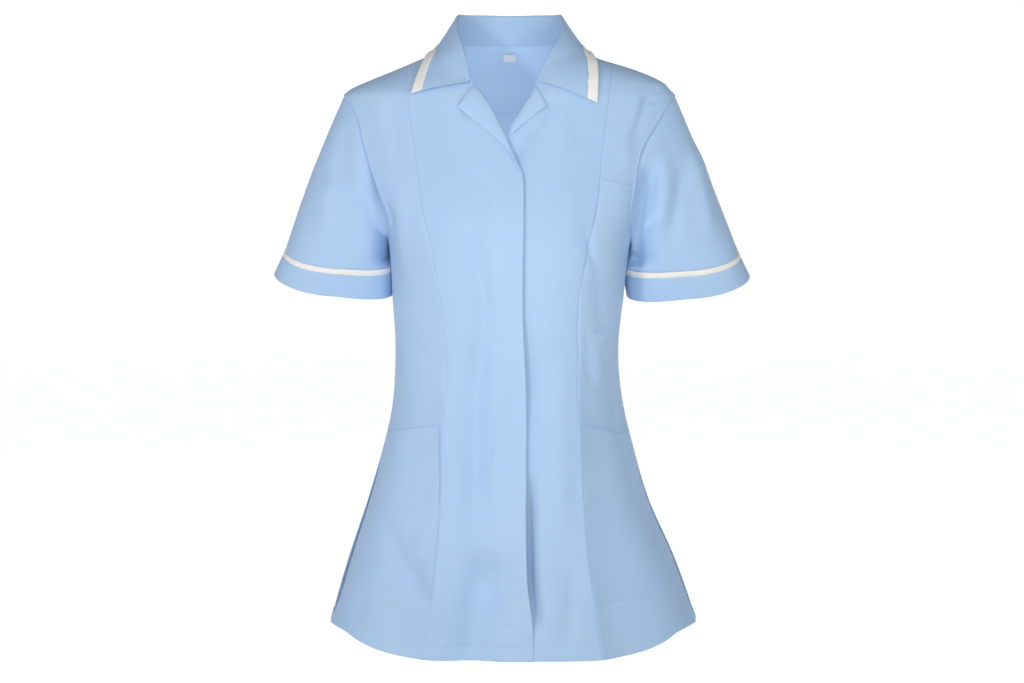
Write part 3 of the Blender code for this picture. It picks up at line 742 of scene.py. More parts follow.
# The left front lies this much deeper where the right one covers it.
SINKS = named_rows(
    "height deep",
    (-120, 0), (-160, 1.2), (-300, 1.0), (-400, 4.0), (-486, 1.6), (-540, 8.0), (-585, 10.0), (-617, 10.5),
    (-650, 8.0), (-673, 4.0), (-690, 0.2), (-719, -0.6),
)
SINK_START = 5.0
SINK_WIDTH = 7.0


def under_edge_move(grid):
    """The left front sinks below the right one, and comes up again just past the closing edge."""
    x, z = grid[..., 0], grid[..., 2]
    past = np.maximum(0, x - through(INNER_EDGES, "right", z) - SINK_START)
    return -through(SINKS, "deep", z) * hill(past, SINK_WIDTH)


def turned_under(grid):
    """The grid with its first edge turned under, as the folded edge of a front is."""
    over = grid[:, 0] - grid[:, 1]
    over /= np.linalg.norm(over, axis=-1, keepdims=True)
    out = normals_of(grid)[:, 0]
    roundness = below(EDGE_ROUND_FROM, grid[:, 0, 2], EDGE_ROUND_RUN)
    radius = mix(EDGE_THIN_RADIUS, EDGE_RADIUS, roundness)[:, None]
    centre = grid[:, 0] - out * radius
    under = [centre - out * radius - over * reach for reach in (EDGE_REACH, EDGE_REACH / 2, 0.5)]
    turn = [centre + radius * (over * math.cos(a) + out * math.sin(a)) for a in EDGE_TURNS]
    return np.concatenate([np.stack(under + turn, axis=1), grid], axis=1)


print(f"the strip's stitching is {FLY_TOP - FLY_FOOT:.0f} mm long")

# %% The four fronts are laid, moved and made
HEM_ROWS = [HEM_DEPTH + off for off in (-2, -1, 0, 1, 2, 3.5)]
FRONT_LENGTH = 715.0
CENTRE_WIDTH = 110.0
SIDE_WIDTH = 130.0
FLY_COLUMNS = np.arange(39, 56, 1.2)
SEAM_PUCKER = 0.22
SKIRT_PUCKER = 0.6
SKIRT_TOP = -440.0
SKIRT_FOOT = -620.0
SKIRT_RUN = 60.0

front_rows = shares(FRONT_LENGTH, STEP, more=[FRONT_LENGTH - row for row in HEM_ROWS])
for side in (-1, 1):
    word = word_of(side)
    fly_columns = FLY_COLUMNS if side < 0 else ()
    grid = lay(front_centre(side), shares(CENTRE_WIDTH, STEP, more=fly_columns), front_rows)
    move = body_folds(grid, "front") + seam_dip(grid, "r") + hem_move(grid)
    move += puckers(lengths(grid, 0), to_end(grid, 1), 1.3 * side, SEAM_PUCKER) + hem_puckers(grid, side)
    grid = moved(grid, move + (fly_move(grid) if side < 0 else under_edge_move(grid)))
    cloth(f"front_centre_{word}", turned_under(grid) if side < 0 else grid)

    grid = lay(front_side(side), shares(SIDE_WIDTH, STEP), front_rows)
    z = grid[..., 2]
    drawn = SKIRT_PUCKER * below(SKIRT_TOP, z, SKIRT_RUN) * above(SKIRT_FOOT, z, SKIRT_RUN) * (side < 0)
    move = body_folds(grid, "front") + seam_dip(grid, "lr") + hem_move(grid)
    move += armhole_move(grid)
    move += hem_puckers(grid, 3 * side) + vent_move(grid, side) + panel_bend(grid, side)
    move += puckers(lengths(grid, 0), lengths(grid, 1), 2.1 * side, SEAM_PUCKER + drawn)
    cloth(f"front_side_{word}", moved(grid, move))

# %% [markdown]
# ## The back
# The back is one panel below a yoke, the deep band over the shoulders that takes the weight. The yoke's upper
# edge is the ridge of the shoulders and the back of the neck.

# %% The yoke and the back panel
def top_of_form(x):
    """The height of the shoulders' ridge at each x."""
    low = np.full(np.shape(x), -2 * SHOULDER_TIP_DROP)

    def inside(height):
        return outside(points(x, np.zeros_like(x), height)) < 0

    return halved(low, np.zeros_like(low), inside)


YOKE_FOOT = side_seam(np.array(YOKE_FALL), 1, "back")[1]


def yoke_seam_height(share):
    return mix(-YOKE_DROP, YOKE_FOOT, share**2)


def back_yoke(u, v):
    share = np.abs(2 * u - 1)
    side = np.where(u < 0.5, -1.0, 1.0)
    arm_turn, arm_height = side_seam(YOKE_FALL * v, 1, "back")
    by_neck = NECK_REACH * np.sin(np.pi * share)
    by_ridge = mix(NECK_REACH, SHOULDER_TIP_REACH, np.sin(np.pi * (share - 0.5)))
    top_x = np.where(share > 0.5, by_ridge, by_neck)
    top = np.where(share > 0.5, top_of_form(side * top_x), 0.0)
    by_arm = (arm_height + SHOULDER_TIP_DROP) / (YOKE_FOOT + SHOULDER_TIP_DROP)
    height = mix(top, yoke_seam_height(share) + SEAM_GAP / 2, mix(v, by_arm, ease(2 * share)))
    from_top = side * top_x * np.abs(on_body("back", side * arm_turn, arm_height)[..., 0])
    from_top = from_top / SHOULDER_TIP_REACH
    x = mix(from_top, on_body("back", side * share * arm_turn, height)[..., 0], v)
    grid = points(x, np.maximum(back_y(x, height), SEAM_GAP / 2), height)
    neck = on_body("back", side * 180 * share, np.zeros_like(share))
    return np.where(((v == 0) & (share <= 0.5))[..., None], neck, grid)


def back_panel(u, v):
    share = 2 * u - 1
    first = YOKE_FALL * ARM_SHARE
    fall = fall_of(mix(first, 1.0, v))
    outer_turn, outer_height = side_seam(fall, 1, "back")
    middle = mix(-YOKE_DROP, UNDERARM, (fall - YOKE_FALL) / (1 - YOKE_FALL))
    height = mix(middle, outer_height, share**2)
    height = np.where(fall > 1, skirt_height(fall, outer_turn * share), height)
    height = np.where(v == 0, height - SEAM_GAP / 2, height)
    return on_body("back", outer_turn * share, height)


BACK_WIDTH = 470.0
BACK_LENGTH = 640.0
BACK_STEP = 4.2
YOKE_LENGTH = 90.0
grid = lay(back_yoke, shares(BACK_WIDTH, BACK_STEP), shares(YOKE_LENGTH, STEP))
cloth("back_yoke", moved(grid, body_folds(grid, "back") + seam_dip(grid, "b")))

back_rows = shares(BACK_LENGTH, STEP, more=[BACK_LENGTH - row for row in HEM_ROWS])
grid = lay(back_panel, shares(BACK_WIDTH, BACK_STEP), back_rows)
cloth("back_panel", moved(grid, body_folds(grid, "back") + seam_dip(grid, "lrt") + hem_move(grid)))

# %% [markdown]
# ## Sleeves, trims and cuffs
# A set-in sleeve is a tube from the armhole to the ring where its trim is sewn. The trim and the cuff carry
# on down the same tube. Below the arm the tube would cut into the body, so there it keeps clear of it.

# %% The sleeves
Ring = namedtuple("Ring", "x y z reach rise depth dip left_inwards")
TRIM_RING = Ring(207, 17, -253, 62.5, 8, 52, 13, 8)
CUFF_RING = Ring(215.5, 23, -286, 68.5, 12, 51, 13.5, 4)
LEFT_SLEEVE_SHIFT = (6, 0, -3)
SLEEVE_INNER_BULGE = 3.0
RIGHT_OUTER_BULGE = 3.5
LEFT_OUTER_BULGE = 1.0
SLEEVE_SEAM_GAP = 0.15
SLEEVE_CLEARANCE = 1.0
SLEEVE_FLATNESS = 0.75
SLEEVE_TUCK = 7.0
SLEEVE_CLEARED_BELOW = UNDERARM + 8.0


def ring_point(ring, side, around):
    """The point of a sleeve ring: around is 0 at the outer end and 0.5 at the inner end, by the front."""
    angle = 2 * np.pi * around
    over, out = np.cos(angle), np.sin(angle)
    shift = LEFT_SLEEVE_SHIFT if side > 0 else (0, 0, 0)
    inwards = ring.left_inwards * (over < 0) if side > 0 else 0
    flat_over = np.sign(over) * np.abs(over) ** SLEEVE_FLATNESS
    flat_out = np.sign(out) * np.abs(out) ** SLEEVE_FLATNESS
    tuck = SLEEVE_TUCK * np.maximum(0, -over) ** 2
    x = side * (ring.x + (ring.reach + inwards) * flat_over - tuck) + shift[0]
    y = ring.y - ring.depth * flat_out + shift[1]
    z = ring.z + ring.rise * np.cos(angle) - ring.dip * np.sin(angle) + shift[2]
    return points(x, y, z)


def armhole_point(side, around):
    front = around <= 0.5
    fall = np.where(front, 2 * around, 2 - 2 * around)
    front_turn, height = side_seam(fall, side, "front")
    back_turn, _ = side_seam(fall, side, "back")
    turn = np.where(front, front_turn, back_turn)
    grid = np.where(
        front[..., None], on_body("front", side * turn, height), on_body("back", side * turn, height)
    )
    grid[..., 1] = np.where(turn >= 90, section("centre_y", height), grid[..., 1])
    grid[..., 0] += side * SLEEVE_SEAM_GAP * (1 + ease(fall))
    return grid


def clear_of_body(grid, side):
    """The same points, moved outwards where they come too close to the body's side."""
    x, y, z = grid[..., 0], grid[..., 1], grid[..., 2]
    centre = section("centre_y", z)
    depth, square = by_half("depth", y < centre, z), by_half("square", y < centre, z)
    share = np.minimum(1, np.abs(y - centre) / depth)
    reach = section("half_width", z) * (1 - share**square) ** (1 / square)
    least = reach + side * section("sway", z) + SLEEVE_CLEARANCE
    push = (z <= SLEEVE_CLEARED_BELOW) & (side * x < least)
    grid[..., 0] = np.where(push, side * least, x)
    return grid


def sleeve(side):
    def place(u, v):
        grid = mix(armhole_point(side, u), ring_point(TRIM_RING, side, u), v[..., None])
        inner = (1 - np.cos(2 * np.pi * u)) / 2
        outer_bulge = LEFT_OUTER_BULGE if side > 0 else RIGHT_OUTER_BULGE
        bulge = mix(outer_bulge, SLEEVE_INNER_BULGE, inner) * np.sin(np.pi * v)
        grid[..., 0] += side * bulge
        return clear_of_body(grid, side)

    return place


def cuff_band(side, first, last):
    def place(u, v):
        start, end = ring_point(TRIM_RING, side, u), ring_point(CUFF_RING, side, u)
        gap = SEAM_GAP / np.linalg.norm(start - end, axis=-1)
        return clear_of_body(mix(start, end, mix(first + gap, last, v)[..., None]), side)

    return place


print(f"a cuff is {2 * CUFF_RING.reach:.0f} mm wide")

# %% The sleeves' hollows and folds
Hollow = namedtuple("Hollow", "top_x foot_x deep")
HOLLOWS = {-1: Hollow(152, 143, 28), 1: Hollow(163, 152, 20)}
HOLLOW_WIDTH = 14.0
HOLLOW_TOP = -130.0
HOLLOW_RUN = 50.0
HOLLOW_LEAN_RUN = 110.0
HOLLOW_FOOT = -268.0
HOLLOW_FOOT_RUN = 14.0
HOLLOW_BACK = 20.0
SLEEVE_AXIS = (208.0, 18.0, 0.0)
SLEEVE_SIDE_WEIGHT = 0.2
SLEEVE_FACING_RISE = 2.5


def hollow(grid, side):
    """How far back the sleeve's front lies beside the body, where it sinks into a deep shaded hollow."""
    place = HOLLOWS[side]
    x, y, z = grid[..., 0] * side, grid[..., 1], grid[..., 2]
    line = mix(place.top_x, place.foot_x, below(HOLLOW_TOP, z, HOLLOW_LEAN_RUN))
    span = below(HOLLOW_TOP, z, HOLLOW_RUN) * above(HOLLOW_FOOT, z, HOLLOW_FOOT_RUN)
    return place.deep * span * hill(x - line, HOLLOW_WIDTH) * ease(0.5 - y / HOLLOW_BACK)


def sleeve_folds(grid, side):
    """Folds on the sleeve's front half and on its back half. They fade out where it faces sideways."""
    flat = (grid - np.array(SLEEVE_AXIS) * (side, 1, 1)) * (1, 1, 0)
    facing = SLEEVE_FACING_RISE * (flat[..., 1] / np.maximum(np.linalg.norm(flat, axis=-1), 1))
    x, z = grid[..., 0], grid[..., 2]
    front = folds_at(f"sleeve_{word_of(side)}", x, z) * ease(SLEEVE_SIDE_WEIGHT - facing)
    return front + folds_at("sleeve_back", x, z) * ease(SLEEVE_SIDE_WEIGHT + facing)


print("the sleeves' hollows are", [place.deep for place in HOLLOWS.values()], "mm deep")

# %% Both sleeves, each with its trim and its cuff
SLEEVE_MIDDLE = (207.0, 18.0, -180.0)
SLEEVE_LENGTH = 190.0
SLEEVE_PUCKER = 0.7
ARMHOLE_DIP = 3.2
ARMHOLE_DIP_WIDTH = 5.0
CUFF_LENGTH = 36.0
CUFF_TRIM_SHARE = 0.2
CUFF_STEP = 2.4
CUFF_NEAR_EDGE = (0.5, 1.1, 1.8)
CUFF_CLOTH = 1.0
CUFF_PUCKER = 0.2
TRIM_LIFT = 0.45
around = np.linspace(0, 1, 129)
front_half = ease(4 * np.minimum(around, 0.5 - around))


def sleeve_moved(grid, move, side):
    """A tube's first and last columns are the same, so they move alike."""
    move[:, [0, -1]] = move[:, [0]]
    return moved(grid, move, np.array(SLEEVE_MIDDLE) * (side, 1, 1), tube=True)


for side in (-1, 1):
    word = word_of(side)
    grid = lay(sleeve(side), around, shares(SLEEVE_LENGTH, STEP))
    move = sleeve_folds(grid, side) + seam_dip(grid, "tb")
    move += puckers(lengths(grid, 1), to_end(grid, 0), side, SLEEVE_PUCKER)
    move -= ARMHOLE_DIP * hill(lengths(grid, 0), ARMHOLE_DIP_WIDTH) * front_half
    grid = sleeve_moved(grid, move, side)
    grid[..., 1] += hollow(grid, side)
    cloth(f"sleeve_{word}", grid, tube=True)

    down = shares(CUFF_LENGTH * CUFF_TRIM_SHARE, CUFF_STEP, near=CUFF_NEAR_EDGE)
    grid = lay(cuff_band(side, 0.0, CUFF_TRIM_SHARE), around, down)
    move = TRIM_LIFT + seam_dip(grid, "t") + seam_dip(grid, "b")
    cloth(f"cuff_trim_{word}", sleeve_moved(grid, move, side), thick=CUFF_CLOTH, tube=True)

    down = shares(CUFF_LENGTH * (1 - CUFF_TRIM_SHARE), CUFF_STEP, near=CUFF_NEAR_EDGE)
    grid = lay(cuff_band(side, CUFF_TRIM_SHARE, 1.0), around, down)
    move = seam_dip(grid, "t") + puckers(lengths(grid, 1), lengths(grid, 0), 2 * side, CUFF_PUCKER)
    cloth(f"cuff_{word}", sleeve_moved(grid, move, side), thick=CUFF_CLOTH, tube=True)

# %% [markdown]
# ## The collar
# The collar is one piece: a stand that rises from the neck seam, a fold, and a leaf that falls over the
# shoulders. It could be swept along a curve, but its height, fall and spread all change on the way round. So
# the seam, the fold and the loose edge are each a smooth line, and the cloth is laid from one to the next.

# %% The collar
COLLAR_SECTIONS = named_rows(
    "seam_height seam_turn fold_x fold_y fold_z edge_x edge_y edge_z drop skew",
    (-50, None, 39, -62, -44, 107.5, -60, -60, 12, 6.5),
    (-40, None, 44.5, -53, -28, 105, -49, -48, 9, 4.5),
    (-21, None, 51, -41, -9, 102, -35, -33, 5, 2),
    (-7, None, 58, -25, 6, 98, -18, -20, 2, 0),
    (0, 90, 61.5, 0, 22, 94, 3, -12, 0, -0.5),
    (0, 67.5, 60, 26, 34.5, 89, 28, -14, 0, 0),
    (0, 45, 52, 50, 36, 80, 53, -18, 0, -1),
    (0, 22.5, 29, 66, 36.5, 45, 74, -23, 0, -1.5),
    (0, 0, 0, 71, 36, 0, 81, -25, 0, -2),
)
COLLAR_SEAM_GAP = 0.2
FOLD_RADIUS = 1.7
LEAF_BULGE = 1.5
LEAF_CLEARANCE = 3.2
SLOPE_STEP = 0.5


def on_curve(places, share):
    """The points at these shares of the way along a smooth curve through the places."""
    last = len(places) - 1
    k = np.clip((share * last).astype(int), 0, last - 1)
    s = (share * last - k)[:, None]
    start = (places[k + 1] - places[np.maximum(k - 1, 0)]) / np.where(k > 0, 2, 1)[:, None]
    end = (places[np.minimum(k + 2, last)] - places[k]) / np.where(k < last - 1, 2, 1)[:, None]
    bend = start * (s**3 - 2 * s**2 + s) + end * (s**3 - s**2)
    return mix(places[k], places[k + 1], 3 * s**2 - 2 * s**3) + bend


def off_the_body(grid, clearance):
    """The points, moved along the form's slope until they are this clear of the body."""
    for _ in range(ROUNDS):
        steps = SLOPE_STEP * np.eye(3)
        slope = np.stack([outside(grid + step) - outside(grid - step) for step in steps], axis=-1)
        size = np.linalg.norm(slope, axis=-1, keepdims=True)
        distance = outside(grid)[..., None] / size
        push = (grid[..., 2:] <= 0) & (distance < clearance)
        grid = np.where(push, grid + slope / size * (clearance - distance), grid)
    return grid


def collar_lines():
    """The collar's seam, fold and loose edge, each from the right notch round the back to the left notch."""
    seams, folds, edges = [], [], []
    for side, rows in ((-1, COLLAR_SECTIONS), (1, COLLAR_SECTIONS[-2::-1])):
        for row in rows:
            if row.seam_turn is None:
                x = through(INNER_EDGES, word_of(side), row.seam_height)
                seams.append(points(x, front_y(x, row.seam_height), row.seam_height))
            else:
                seams.append(on_body("back", side * row.seam_turn, 0.0))
            folds.append((side * row.fold_x - row.skew, row.fold_y, row.fold_z))
            drop = row.drop if side > 0 else 0
            edges.append((side * row.edge_x - row.skew, row.edge_y, row.edge_z - drop))
    return np.array(seams), np.array(folds), np.array(edges)


def collar_rows(across, stand=(), turns=(), leaf=()):
    """The collar's rows: shares up the stand, angles over the fold, and shares down the leaf."""
    seam, fold, edge = (on_curve(line, across) for line in collar_lines())
    up = unit(fold - seam)
    out = edge - fold
    out = unit(out - up * (out * up).sum(axis=-1, keepdims=True))
    inner = fold - up * FOLD_RADIUS
    centre = inner + out * FOLD_RADIUS
    rows = [mix(seam + up * COLLAR_SEAM_GAP, inner, share) for share in stand]
    rows += [centre + FOLD_RADIUS * (up * math.sin(a) - out * math.cos(a)) for a in np.radians(turns)]
    outer = centre + FOLD_RADIUS * out
    lift = np.array((0, 0, LEAF_BULGE))
    rows += [mix(outer, edge, share) + lift * math.sin(math.pi * share) for share in leaf]
    return off_the_body(np.stack(rows), LEAF_CLEARANCE) if len(leaf) else np.stack(rows)


COLLAR_LENGTH = 430.0
COLLAR_STEP = 2.6
STAND_SHARES = np.linspace(0, 1, 14)[:-1]
COLLAR_TURNS = (0, 15, 30, 50, 70, 90, 110, 130, 150, 165)
LEAF_LENGTH = 50.0
LEAF_STEP = 2.4
COLLAR_CLOTH = 1.5
COLLAR_CENTRE = (0, 10, -60)
COLLAR_WAVES = ((0.5, 9.5, 1.1), (0.35, 23, 0))
WAVE_FADE = (-0.6, 1.2)
across = shares(COLLAR_LENGTH, COLLAR_STEP)
stand = collar_rows(across, stand=STAND_SHARES, turns=COLLAR_TURNS)
leaf = collar_rows(across, leaf=shares(LEAF_LENGTH, LEAF_STEP)[1:])
grid = np.concatenate([stand, leaf])
# A real leaf never lies quite flat: two slow waves run round it, and fade out towards the neck seam.
wave = sum(height * np.sin(turns * across + first) for height, turns, first in COLLAR_WAVES)
fade = ease(np.linspace(*WAVE_FADE, len(grid)))[:, None]
grid = moved(grid, wave * fade, COLLAR_CENTRE)
cloth("collar", grid, thick=COLLAR_CLOTH, rim=0.5)

# %% The collar's trim, a tape folded over the leaf's loose edge
# From the leaf's face round its edge and under: how far in from the edge, and how far off the leaf's middle.
TRIM_PROFILE = (
    (12, 0.85), (11.6, 1.15), (11, 1.25), (9, 1.3), (7, 1.32), (5, 1.32), (3, 1.3), (1.6, 1.28),
    (0.6, 1.2), (-0.2, 0.95), (-0.75, 0.45), (-0.9, 0), (-0.75, -0.5), (0, -1.15), (1.5, -1.2),
)
TRIM_ROWS = 12
band = grid[-TRIM_ROWS:]
facing = normals_of(grid, COLLAR_CENTRE)[-TRIM_ROWS:]
along = lengths(band[::-1], 0)[::-1]
outwards = unit(band[-1] - band[-3])
rows = []
for inwards, lift in TRIM_PROFILE:
    at = -max(inwards, 0)
    columns = range(len(across))
    row = np.array([at_run(band[:, c], -along[:, c], at) for c in columns])
    normal = np.array([at_run(facing[:, c], -along[:, c], at) for c in columns])
    rows.append(row + outwards * max(0, -inwards) + unit(normal) * lift)
cloth("collar_trim", np.stack(rows), thick=0.6, rim=0.12)

# %% [markdown]
# ## The reveres
# A revere is the front's own facing, turned back at the roll line. So each one starts behind the front's
# edge, turns over it in a soft fold, and lies on the front as far as its loose edge, which catches the light.

# %% The reveres
# Each row is one crossing of the revere: the roll line's x and z, then the loose edge's x and z.
REVERE_ROWS = {
    -1: (
        (-43, -50, -60, -75.5), (-33, -61, -46, -87), (-22.5, -77, -32, -98), (-14, -92, -18, -110),
        (-6.5, -105, -7.5, -119), (2, -125, 3, -132), (11, -146, 12, -149),
    ),
    1: (
        (31, -51, 42.5, -74.5), (26, -61, 33, -82), (17, -75, 22, -91), (9, -87, 12.5, -99),
        (2.5, -97, 6, -105), (0, -104, 2, -108.5),
    ),
}
# The turn over the front's edge: how far in from the roll line, and how far off the front.
REVERE_TURN = (
    (3, -1.1), (1.6, -1.15), (0.4, -1.1), (-0.7, -0.7), (-1.15, 0.1), (-1.1, 0.9), (-0.6, 1.6), (0.4, 2.1),
)
REVERE_CREASE = Fold(-55, -82, -44, -84, -38, -96, 3.5, -0.8)
REVERE_LENGTH = 100.0
REVERE_STEP = 2.0
REVERE_LIFT = 2.6
REVERE_ROLL = 1.0
REVERE_FULL_WIDTH = 9.0
REVERE_EDGE_DROP = 1.0
REVERE_DROP_FROM = 0.8
REVERE_ACROSS = np.linspace(0, 1, 18)[1:]


def revere(side, down):
    places = np.array(REVERE_ROWS[side], float)
    roll = on_curve(places[:, :2], down)
    edge = on_curve(places[:, 2:], down)
    width = np.linalg.norm(edge - roll, axis=-1, keepdims=True)
    into = (edge - roll) / width
    size = np.minimum(1, width / REVERE_FULL_WIDTH)
    columns = [(roll + into * off * size, out * size[:, 0]) for off, out in REVERE_TURN]
    start, first_lift = REVERE_TURN[-1]
    for share in REVERE_ACROSS:
        lift = mix(first_lift, REVERE_LIFT, ease(share * 4)) + REVERE_ROLL * math.sin(math.pi * share)
        lift -= REVERE_EDGE_DROP * ease((share - REVERE_DROP_FROM) * 5)
        columns.append((mix(roll + into * start * size, edge, share), lift * size[:, 0]))
    grid = np.stack([points(at[:, 0], out, at[:, 1]) for at, out in columns], axis=1)
    x, out, z = grid[..., 0], grid[..., 1], grid[..., 2]
    return points(x, front_y(x, z) - out - overlap_move(x, side, z), z)


for side in (-1, 1):
    grid = revere(side, shares(REVERE_LENGTH, REVERE_STEP))
    move = fold_depth(REVERE_CREASE, grid[..., 0], grid[..., 2]) if side < 0 else 0
    cloth(f"revere_{word_of(side)}", moved(grid, move), thick=0.9, rim=0.3)

# %% [markdown]
# ## Pockets and label
# The pockets are patches sewn on the side fronts, with their top edge left free. Each is laid on the same
# folds as the panel below it, a little higher, and it stands open by a millimetre or two at the top.

# %% The pockets
POCKETS = named_rows(
    "name side wide top_in top_out foot_in foot_out top_share foot_share",
    ("breast_pocket", 1, 50, -161, -169, -284, -284, 0.88, 0.62),
    ("hip_pocket_right", -1, 95, -446, -462, -650, -634, 0.93, 0.93),
    ("hip_pocket_left", 1, 95, -446, -464, -655, -637, 0.93, 0.93),
)
POCKET_INSET = 0.004
POCKET_LIFT = 0.62
POCKET_BULGE = 0.5
MOUTH_OPEN = 1.1
MOUTH_DEPTH = 26.0
MOUTH_HEM = 3.0
MOUTH_ROWS = (MOUTH_HEM - 0.8, MOUTH_HEM, MOUTH_HEM + 0.8)
MOUTH_DIP_WIDTH = 0.9
SEWN_DIP = 0.3
SEWN_DIP_WIDTH = 1.2
POCKET_EDGE = 9.0
POCKET_CLOTH = 0.45
SIDE_PUCKER = 0.25
MOUTH_PUCKER = 0.15


def pocket(row):
    panel = front_side(row.side)

    def share_at(across, height):
        def too_high(share):
            return panel(across, share)[..., 2] > height

        return halved(np.zeros_like(across), np.ones_like(across), too_high)

    def place(u, v):
        across = mix(POCKET_INSET, mix(row.top_share, row.foot_share, v), u)
        top = share_at(across, mix(row.top_in, row.top_out, u))
        foot = share_at(across, mix(row.foot_in, row.foot_out, u))
        return panel(across, mix(top, foot, v))

    return place


def pocket_move(grid, side):
    """How high a pocket lies: most in its middle and at its mouth, and least where it is sewn."""
    off, along = lengths(grid, 1), lengths(grid, 0)
    sewn = np.minimum(np.minimum(off, to_end(grid, 1)), to_end(grid, 0))
    lift = POCKET_LIFT + POCKET_BULGE * ease(sewn / POCKET_EDGE)
    lift += MOUTH_OPEN * np.sin(np.pi * (off / off[:, -1:])) ** 2 * hill(along, MOUTH_DEPTH)
    lift -= SEWN_DIP * hill(along - MOUTH_HEM, MOUTH_DIP_WIDTH) + SEWN_DIP * hill(sewn, SEWN_DIP_WIDTH)
    lift += puckers(along, off, 0.7 * side, SIDE_PUCKER) + puckers(off, along, 1.9 * side, MOUTH_PUCKER)
    return lift + (panel_bend(grid, side) + vent_move(grid, side) + body_folds(grid, "front"))


for row in POCKETS:
    down = shares(row.top_in - row.foot_in, STEP, more=MOUTH_ROWS)
    grid = lay(pocket(row), shares(row.wide, STEP), down)
    cloth(row.name, moved(grid, pocket_move(grid, row.side)), thick=POCKET_CLOTH, rim=0.12)

# %% The label, left bare
LABEL_WIDTH = 15.0
LABEL_TOP = -10.5
LABEL_FOOT = -19.5
LABEL_LIFT = 1.4
LABEL_LEAN = 0.6


def label(u, v):
    x = LABEL_WIDTH * (u - 0.5)
    z = mix(LABEL_TOP, LABEL_FOOT, v)
    return points(x, back_y(x, z) - LABEL_LIFT - LABEL_LEAN * v, z)


cloth("size_label", lay(label, np.linspace(0, 1, 13), np.linspace(0, 1, 9)), thick=0.35, rim=0.08)

# %% [markdown]
# ## Stitching
# A sewn line is a row of short threads with gaps between them, each dipping into the cloth at both ends. One
# curve holds every thread of a piece as its own short run, and its round bevel is the thread. A bump in the
# finish would be quicker, but it would not catch the light at an edge.

# %% Lines of stitching
STITCH_PITCH = 2.8
STITCH_LENGTH = 2.0
THREAD_RADIUS = 0.22
THREAD_STAND = 0.1
THREAD_SINK = 0.25
# Along one thread: how far from its middle, as a share of its half length, and how high it stands.
THREAD_SHAPE = ((-1.0, -THREAD_SINK), (-0.55, THREAD_STAND), (0.55, THREAD_STAND), (1.0, -THREAD_SINK))
stitch_lines = {}


def row_at(name, off, from_foot=True, inside=False, thick=CLOTH):
    """The row of a shell this many millimetres from its foot (or top), lying on its face, and its normals."""
    grid = shells[name]
    down = to_end(grid, 0) if from_foot else lengths(grid, 0)
    row = int(np.argmin(np.abs(down[:, grid.shape[1] // 2] - off)))
    normals = normals_of(grid)[row] * (-1 if inside else 1)
    return grid[row] + normals * thick / 2, normals


def add_stitches(name, path, normals, pitch=STITCH_PITCH, length=STITCH_LENGTH):
    """Keeps a line of stitches along the path, to be made with the others on the piece called name."""
    run = lengths(path[None], 1)[0]
    middles = np.arange(pitch, run[-1] - pitch / 2, pitch)
    threads = []
    for share, height in THREAD_SHAPE:
        where = middles + share * length / 2
        threads.append(at_run(path, run, where) + unit(at_run(normals, run, where)) * height)
    stitch_lines.setdefault(name, []).append(np.stack(threads, axis=1))


print(f"{1000 / STITCH_PITCH:.0f} stitches to the metre")

# %% The fastening strip's line, found where it crosses each row of the right centre front
FIRST_FLAT_COLUMN = 9
FLY_MIDDLE_X = -20.0
grid = shells["front_centre_right"]
path, facing = [], []
for row, normal in zip(grid[:, FIRST_FLAT_COLUMN:], normals_of(grid)[:, FIRST_FLAT_COLUMN:]):
    height = float(np.interp(-FLY_MIDDLE_X, -row[:, 0], row[:, 2]))
    if FLY_FOOT < height < FLY_TOP:
        x = through(FLY_LINE, "x", height)
        path.append(at_run(row, -row[:, 0], -x))
        facing.append(at_run(normal, -row[:, 0], -x))
path, facing = np.array(path), unit(np.array(facing))
add_stitches("front_centre_right", path + facing * CLOTH / 2, facing)

# Short bars that hold the strip: two across the line near its top, and one beside the closing edge.
BARS = ((-31, -23, -170), (-31, -24, -173), (1, 10, -157))
BAR_POINTS = 8
BAR_PITCH = 2.0
BAR_STITCH = 1.8
BAR_LIFT = 0.1
for start_x, end_x, height in BARS:
    x = np.linspace(start_x, end_x, BAR_POINTS)
    y = front_y(x, np.full(BAR_POINTS, float(height))) - overlap_move(x, -1, height) - CLOTH / 2 - BAR_LIFT
    facing = np.tile((0.0, -1.0, 0.0), (BAR_POINTS, 1))
    add_stitches("front_centre_right", points(x, y, height), facing, BAR_PITCH, BAR_STITCH)
print("the strip is held by one line and", len(BARS), "bars")

# %% The hems, the yoke and the pockets' mouths
YOKE_LINES = (2.0, 7.5)
NECK_LINE = 11.0
NECK_LINE_SHARE = 0.16
for side in (-1, 1):
    for name in (f"front_centre_{word_of(side)}", f"front_side_{word_of(side)}"):
        path, facing = row_at(name, HEM_DEPTH)
        first = FIRST_FLAT_COLUMN if name == "front_centre_right" else 0
        add_stitches(name, path[first:], facing[first:])
add_stitches("back_panel", *row_at("back_panel", HEM_DEPTH))

# The yoke is stitched twice below its seam, and shows the same lines inside and out.
for off in YOKE_LINES:
    for inside in (False, True):
        path, facing = row_at("back_panel", off, from_foot=False, inside=inside)
        add_stitches("back_panel", path[2:-2], facing[2:-2])
path, facing = row_at("back_yoke", NECK_LINE, from_foot=False, inside=True)
middle, reach = len(path) // 2, int(NECK_LINE_SHARE * len(path))
neck = slice(middle - reach, middle + reach)
add_stitches("back_yoke", path[neck], facing[neck])

for row in POCKETS:
    path, facing = row_at(row.name, MOUTH_HEM, from_foot=False, thick=POCKET_CLOTH)
    add_stitches(row.name, path[2:-2], facing[2:-2])
print(sum(len(lines) for lines in stitch_lines.values()), "lines of stitching")

